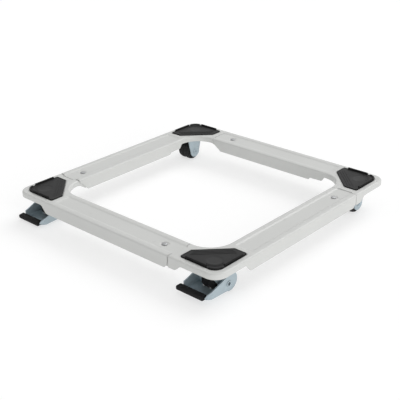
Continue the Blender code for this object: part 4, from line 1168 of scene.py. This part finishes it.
def axle_profile(width):
    """Return the profile of an axle with a hollow rivet head at both ends."""
    half = width / 2 + GAP
    end = half + AXLE_HEAD_HEIGHT
    crown = AXLE_HEAD_HEIGHT / 2
    upper = [(0, end - AXLE_HOLLOW_DEPTH), (AXLE_HOLLOW_RADIUS, end - AXLE_HOLLOW_DEPTH)]
    upper += [(AXLE_HOLLOW_RADIUS, end - crown / 2), (AXLE_HOLLOW_RADIUS + crown / 2, end)]
    upper += arc((AXLE_HEAD_RADIUS - crown, end - crown), crown, 90, 0, AXLE_HEAD_STEPS)
    return mirrored(upper + [(AXLE_HEAD_RADIUS, half), (AXLE_RADIUS, half)])


def sleeve_profile(length):
    """Return the closed profile of a spacer sleeve."""
    bore = AXLE_RADIUS + GAP / 2
    soft = HARD_EDGE
    return [(bore, length), (SLEEVE_RADIUS - soft, length), (SLEEVE_RADIUS, length - soft),
            (SLEEVE_RADIUS, soft), (SLEEVE_RADIUS - soft, 0), (bore, 0)]


def pedal_point(shares):
    """Return a point of the pedal's side view from its shares."""
    return (shares[0] * PEDAL_REACH, shares[1] * PEDAL_ROUND_RADIUS)


def round_end(steps):
    """Return the round back end of a pedal cheek, from its top to its bottom."""
    middle = (PEDAL_ROUND_BACK, PEDAL_ROUND_RISE)
    return arc(middle, PEDAL_ROUND_RADIUS, *CHEEK_ROUND_ANGLES, steps)


def plate_line():
    """Return the pedal's bottom line: back ends of flange, tab and plate, then on to its front."""
    behind = round_end(ROUND_STEPS)[-1]
    first = pedal_point(PLATE_LINE_SHARES[0])
    line = []
    for start in (FLANGE_START, TAB_START, PEDAL_PLATE_START):
        share = (behind[0] + start) / (behind[0] - first[0])
        line.append((-start, between(behind[1], first[1], share)))
    return line + [pedal_point(shares) for shares in PLATE_LINE_SHARES]


def cheek_outline(line):
    """Return the outline of a pedal cheek, above the bend that joins it to the plate."""
    outline = [pedal_point(shares) for shares in CHEEK_TOP_SHARES]
    outline += round_end(2 * ROUND_STEPS)
    outline.append(line[0])
    outline += [(along, height + PEDAL_BEND_RADIUS) for along, height in line]
    outline.append(pedal_point(CHEEK_TIP_SHARES))
    return outline


def pedal_row(along, low):
    """Return the halves of a row of points across the pedal's bottom, left and right."""
    half = PEDAL_WIDTH / 2
    left = arc((-half + PEDAL_BEND_RADIUS, low + PEDAL_BEND_RADIUS), PEDAL_BEND_RADIUS, 180, 270, BEND_STEPS)
    left += [(-half + FLANGE_WIDTH, low), (-TAB_INSET, low)]
    return [[(x, along, z) for x, z in side] for side in (left, flipped(left))]


def pedal_mesh():
    """Return the pedal: a plate with a cheek bent up on each side and room for its grip."""
    half = PEDAL_WIDTH / 2
    line = plate_line()
    surface = Surface()
    rows = [pedal_row(along, low) for along, low in line]
    surface.grid([left + right for left, right in rows[2:]])
    for part in ([left[:-1] for left, _ in rows[:3]], [right[1:] for _, right in rows[:3]],
                 [left[-2:] for left, _ in rows[1:3]], [right[:2] for _, right in rows[1:3]]):
        surface.grid(part)
    eye = ring((0, 0), AXLE_RADIUS + GAP, SMALL_TURN_STEPS)
    for across in (-half, half):
        loops = [[(across, along, height) for along, height in loop]
                 for loop in (cheek_outline(line), eye)]
        surface.fill(*loops)
    middle = (PEDAL_SHEET + GAP - half - PEDAL_REACH / 2, GAP - GRIP_BACK - PEDAL_REACH / 2, 0)
    room = Surface().block(middle, [PEDAL_REACH] * 3)
    walled = surface.piece(wall_step(PEDAL_SHEET), outward=-UP)
    return applied(cut(walled, room), edge_step(HARD_EDGE))


def grip_mesh():
    """Return the rubber grip."""
    middle = (-GRIP_SHIFT, -(PEDAL_REACH + GRIP_BACK) / 2, -(GRIP_TOP_DROP + GRIP_BOTTOM_DROP) / 2)
    size = (GRIP_WIDTH, PEDAL_REACH - GRIP_BACK, GRIP_BOTTOM_DROP - GRIP_TOP_DROP)
    return Surface().block(middle, size).piece(edge_step(GRIP_ROUNDING, GRIP_ROUNDING_STEPS))


def screw_mesh():
    """Return the clamp screw with a domed head, a cross recess and a thread."""
    seat = PLATE_TOP - BAND_DEPTH - DIMPLE_DEPTH + GAP
    tail = NUT_TOP - NUT_HEIGHT - SCREW_TAIL
    crown = seat + SCREW_HEAD_HEIGHT
    rise = SCREW_HEAD_HEIGHT * SCREW_DOME_SHARE
    root = SCREW_RADIUS - THREAD_DEPTH
    profile = arc((0, crown - rise), SCREW_HEAD_RADIUS, 90, 0, SCREW_DOME_STEPS, rise)
    profile += [(SCREW_HEAD_RADIUS, seat), (SCREW_RADIUS, seat)]
    for index in range(int((seat - tail) / THREAD_PITCH)):
        height = seat - THREAD_PITCH * (index + 1)
        profile += [(root, height + THREAD_PITCH / 2), (SCREW_RADIUS, height)]
    profile += [(root, tail), (0, tail)]
    recess = Surface()
    for wide, deep in ((DRIVE_LENGTH, DRIVE_WIDTH), (DRIVE_WIDTH, DRIVE_LENGTH)):
        recess.block((0, 0, crown), (wide, deep, 2 * DRIVE_DEPTH))
    return cut(turned(profile, SMALL_TURN_STEPS), recess)


def nut_mesh():
    """Return the square nut."""
    nut = Surface().block((0, 0, NUT_TOP - NUT_HEIGHT / 2), (NUT_SIDE, NUT_SIDE, NUT_HEIGHT))
    return nut.piece(edge_step(HARD_EDGE))


def rivet_mesh():
    """Return a domed rivet through the pocket floor and the fork's web."""
    seat = PLATE_TOP - POCKET_DEPTH - AXLE_HEIGHT + GAP
    under = FORK_TOP - FORK_SHEET - AXLE_HEIGHT - GAP
    head = arc((0, 0), RIVET_HEAD_RADIUS, 90, 0, RIVET_DOME_STEPS, RIVET_HEAD_HEIGHT)
    profile = [(radius, seat + height - GAP) for radius, height in head[:-1]]
    profile += [(RIVET_HEAD_RADIUS, seat), (RIVET_RADIUS, seat), (RIVET_RADIUS, under)]
    profile += [(radius, under - height) for radius, height in reversed(head)]
    return turned(profile, SMALL_TURN_STEPS)


def rivet_places(front):
    """Return the places of the fork's rivets along Y from the axle."""
    middle = (FORK_REACH - FORK_FRONT_REACH) / 2 if front else 0
    return [middle - RIVET_SPREAD, middle + RIVET_SPREAD]


def moved(place, *step):
    """Return a place moved by a step."""
    return place @ Matrix.Translation(step)


def dress_corner(name, carrier):
    """Show one pressed corner with its pad, clamp screw and nut."""
    spot = moved(carrier, SCREW_ALONG, ARM_WIDTH / 2, 0)
    show("sheet", "corner_frame", name, corner_mesh(name), carrier)
    show("rubber_pad", "pad", name, pad_mesh(), carrier)
    show("screw", "clamp_screw", name, screw_mesh(), spot)
    show("square_nut", "clamp_nut", name, nut_mesh(), spot)


def dress_caster(name, carrier, front):
    """Show one caster."""
    show("fork", "caster_fork", name, fork_mesh(front), carrier)
    for along, end in zip(rivet_places(front), ("ahead", "behind")):
        show("rivet", "fork_rivet", f"{name}_{end}", rivet_mesh(), moved(carrier, 0, along, 0))
    axle = turned(axle_profile(PEDAL_WIDTH if front else FORK_WIDTH), SMALL_TURN_STEPS)
    show("axle", "caster_axle", name, laid(axle), carrier)
    show("tyre", "wheel_tyre", name, laid(turned(tyre_profile(), TURN_STEPS, closed=True)), carrier)
    show("core", "wheel_core", name, core_mesh(), carrier)


def dress_pedal(name, carrier):
    """Show one brake pedal with its grip and spacer sleeves."""
    hung = carrier @ Matrix.Rotation(radians(PEDAL_TILTS[name]), 4, "X")
    show("lever", "brake_pedal", name, pedal_mesh(), hung)
    show("grip", "pedal_grip", name, grip_mesh(), hung)
    near = FORK_WIDTH / 2 + GAP
    far = PEDAL_WIDTH / 2 - PEDAL_SHEET - GAP
    for across, side in ((-far, "left"), (near, "right")):
        sleeve = laid(turned(sleeve_profile(far - near), SMALL_TURN_STEPS, closed=True))
        show("sleeve", "pedal_sleeve", f"{name}_{side}", sleeve, moved(carrier, across, 0, 0))


def dress_base():
    """Show every corner of the base."""
    for quarter, (name, (sides, insets)) in enumerate(CORNERS.items()):
        x, y = [side * HALF_SIDE for side in sides]
        corner = Matrix.Translation((x, FRAME_Y + y, 0)) @ Matrix.Rotation(quarter * pi / 2, 4, "Z")
        x, y = [side * (HALF_SIDE - inset) for side, inset in zip(sides, insets)]
        axle = Matrix.Translation((x, FRAME_Y + y, AXLE_HEIGHT))
        dress_corner(name, corner)
        dress_caster(name, axle, name in PEDAL_TILTS)
        if name in PEDAL_TILTS:
            dress_pedal(name, axle)


def finish_cad():
    """Give the CAD nodes the same materials as the pieces that stand for them."""
    for name, node in frame["nodes"].items():
        coat(node.data, name)


def seen_white(tree):
    """Return 1 for the rays that see the floor and the world as plain white."""
    path = tree.group.nodes.new("ShaderNodeLightPath")
    camera, glossy, passing = [Value(tree, path.outputs[f"Is {ray} Ray"])
                               for ray in ("Camera", "Glossy", "Transmission")]
    return camera.math("MAXIMUM", camera, glossy.math("MAXIMUM", glossy, passing))


def make_floor():
    """Make a pale floor that can be looked through from below."""
    look = Look("floor")
    seen = seen_white(look)
    look.set(Base_Color=look.mix(seen, grey(FLOOR_BOUNCE), grey(FLOOR_SHADE)))
    look.set(Emission_Color=look.mix(seen, grey(FLOOR_LIFT), grey(FLOOR_GLOW)))
    look.set(Emission_Strength=1.0, Roughness=FLOOR_ROUGHNESS, Specular_IOR_Level=0.0)
    look.set(Alpha=1 - look.node("ShaderNodeNewGeometry", output="Backfacing"))
    mesh = bpy.data.meshes.new("floor")
    places = [(FLOOR_REACH * x, FLOOR_REACH * y, 0) for (x, y), _ in CORNERS.values()]
    mesh.from_pydata(places, [], [range(len(places))])
    mesh.materials.append(look.material)
    linked("floor", mesh)


def make_world():
    """Make an even light grey world that is seen as white."""
    world = bpy.data.worlds.new("world")
    bpy.context.scene.world = world
    world.use_nodes = True
    tree = Nodes(world.node_tree)
    colour = tree.mix(seen_white(tree), grey(AMBIENT), grey(1))
    tree.feed(tree.group.nodes["Background"].inputs["Color"], colour)


def make_sun(name, place, strength):
    """Make one broad sun that shines from a direction."""
    light = bpy.data.lights.new(name, "SUN")
    light.energy = strength
    light.angle = radians(SUN_ANGLE)
    linked(name, light).rotation_euler = Vector(place).to_track_quat("Z", "Y").to_euler()


def make_camera():
    """Make the camera, which looks down on the base from its front right."""
    data = bpy.data.cameras.new("camera")
    data.sensor_width = SENSOR
    data.lens = LENS
    turn = Matrix.Rotation(VIEW_TURN, 4, "Z") @ Matrix.Rotation(pi / 2 - VIEW_RISE, 4, "X")
    roll = Matrix.Rotation(VIEW_ROLL, 4, "Z") @ Matrix.Translation(UP * VIEW_DISTANCE)
    camera = linked("camera", data)
    camera.matrix_world = Matrix.Translation(VIEW_TARGET) @ turn @ roll
    bpy.context.scene.camera = camera


bpy.context.scene.view_settings.view_transform = "Standard"
dress_base()
finish_cad()
make_floor()
make_world()
for name, (place, strength) in SUNS.items():
    make_sun(name, place, strength)
make_camera()
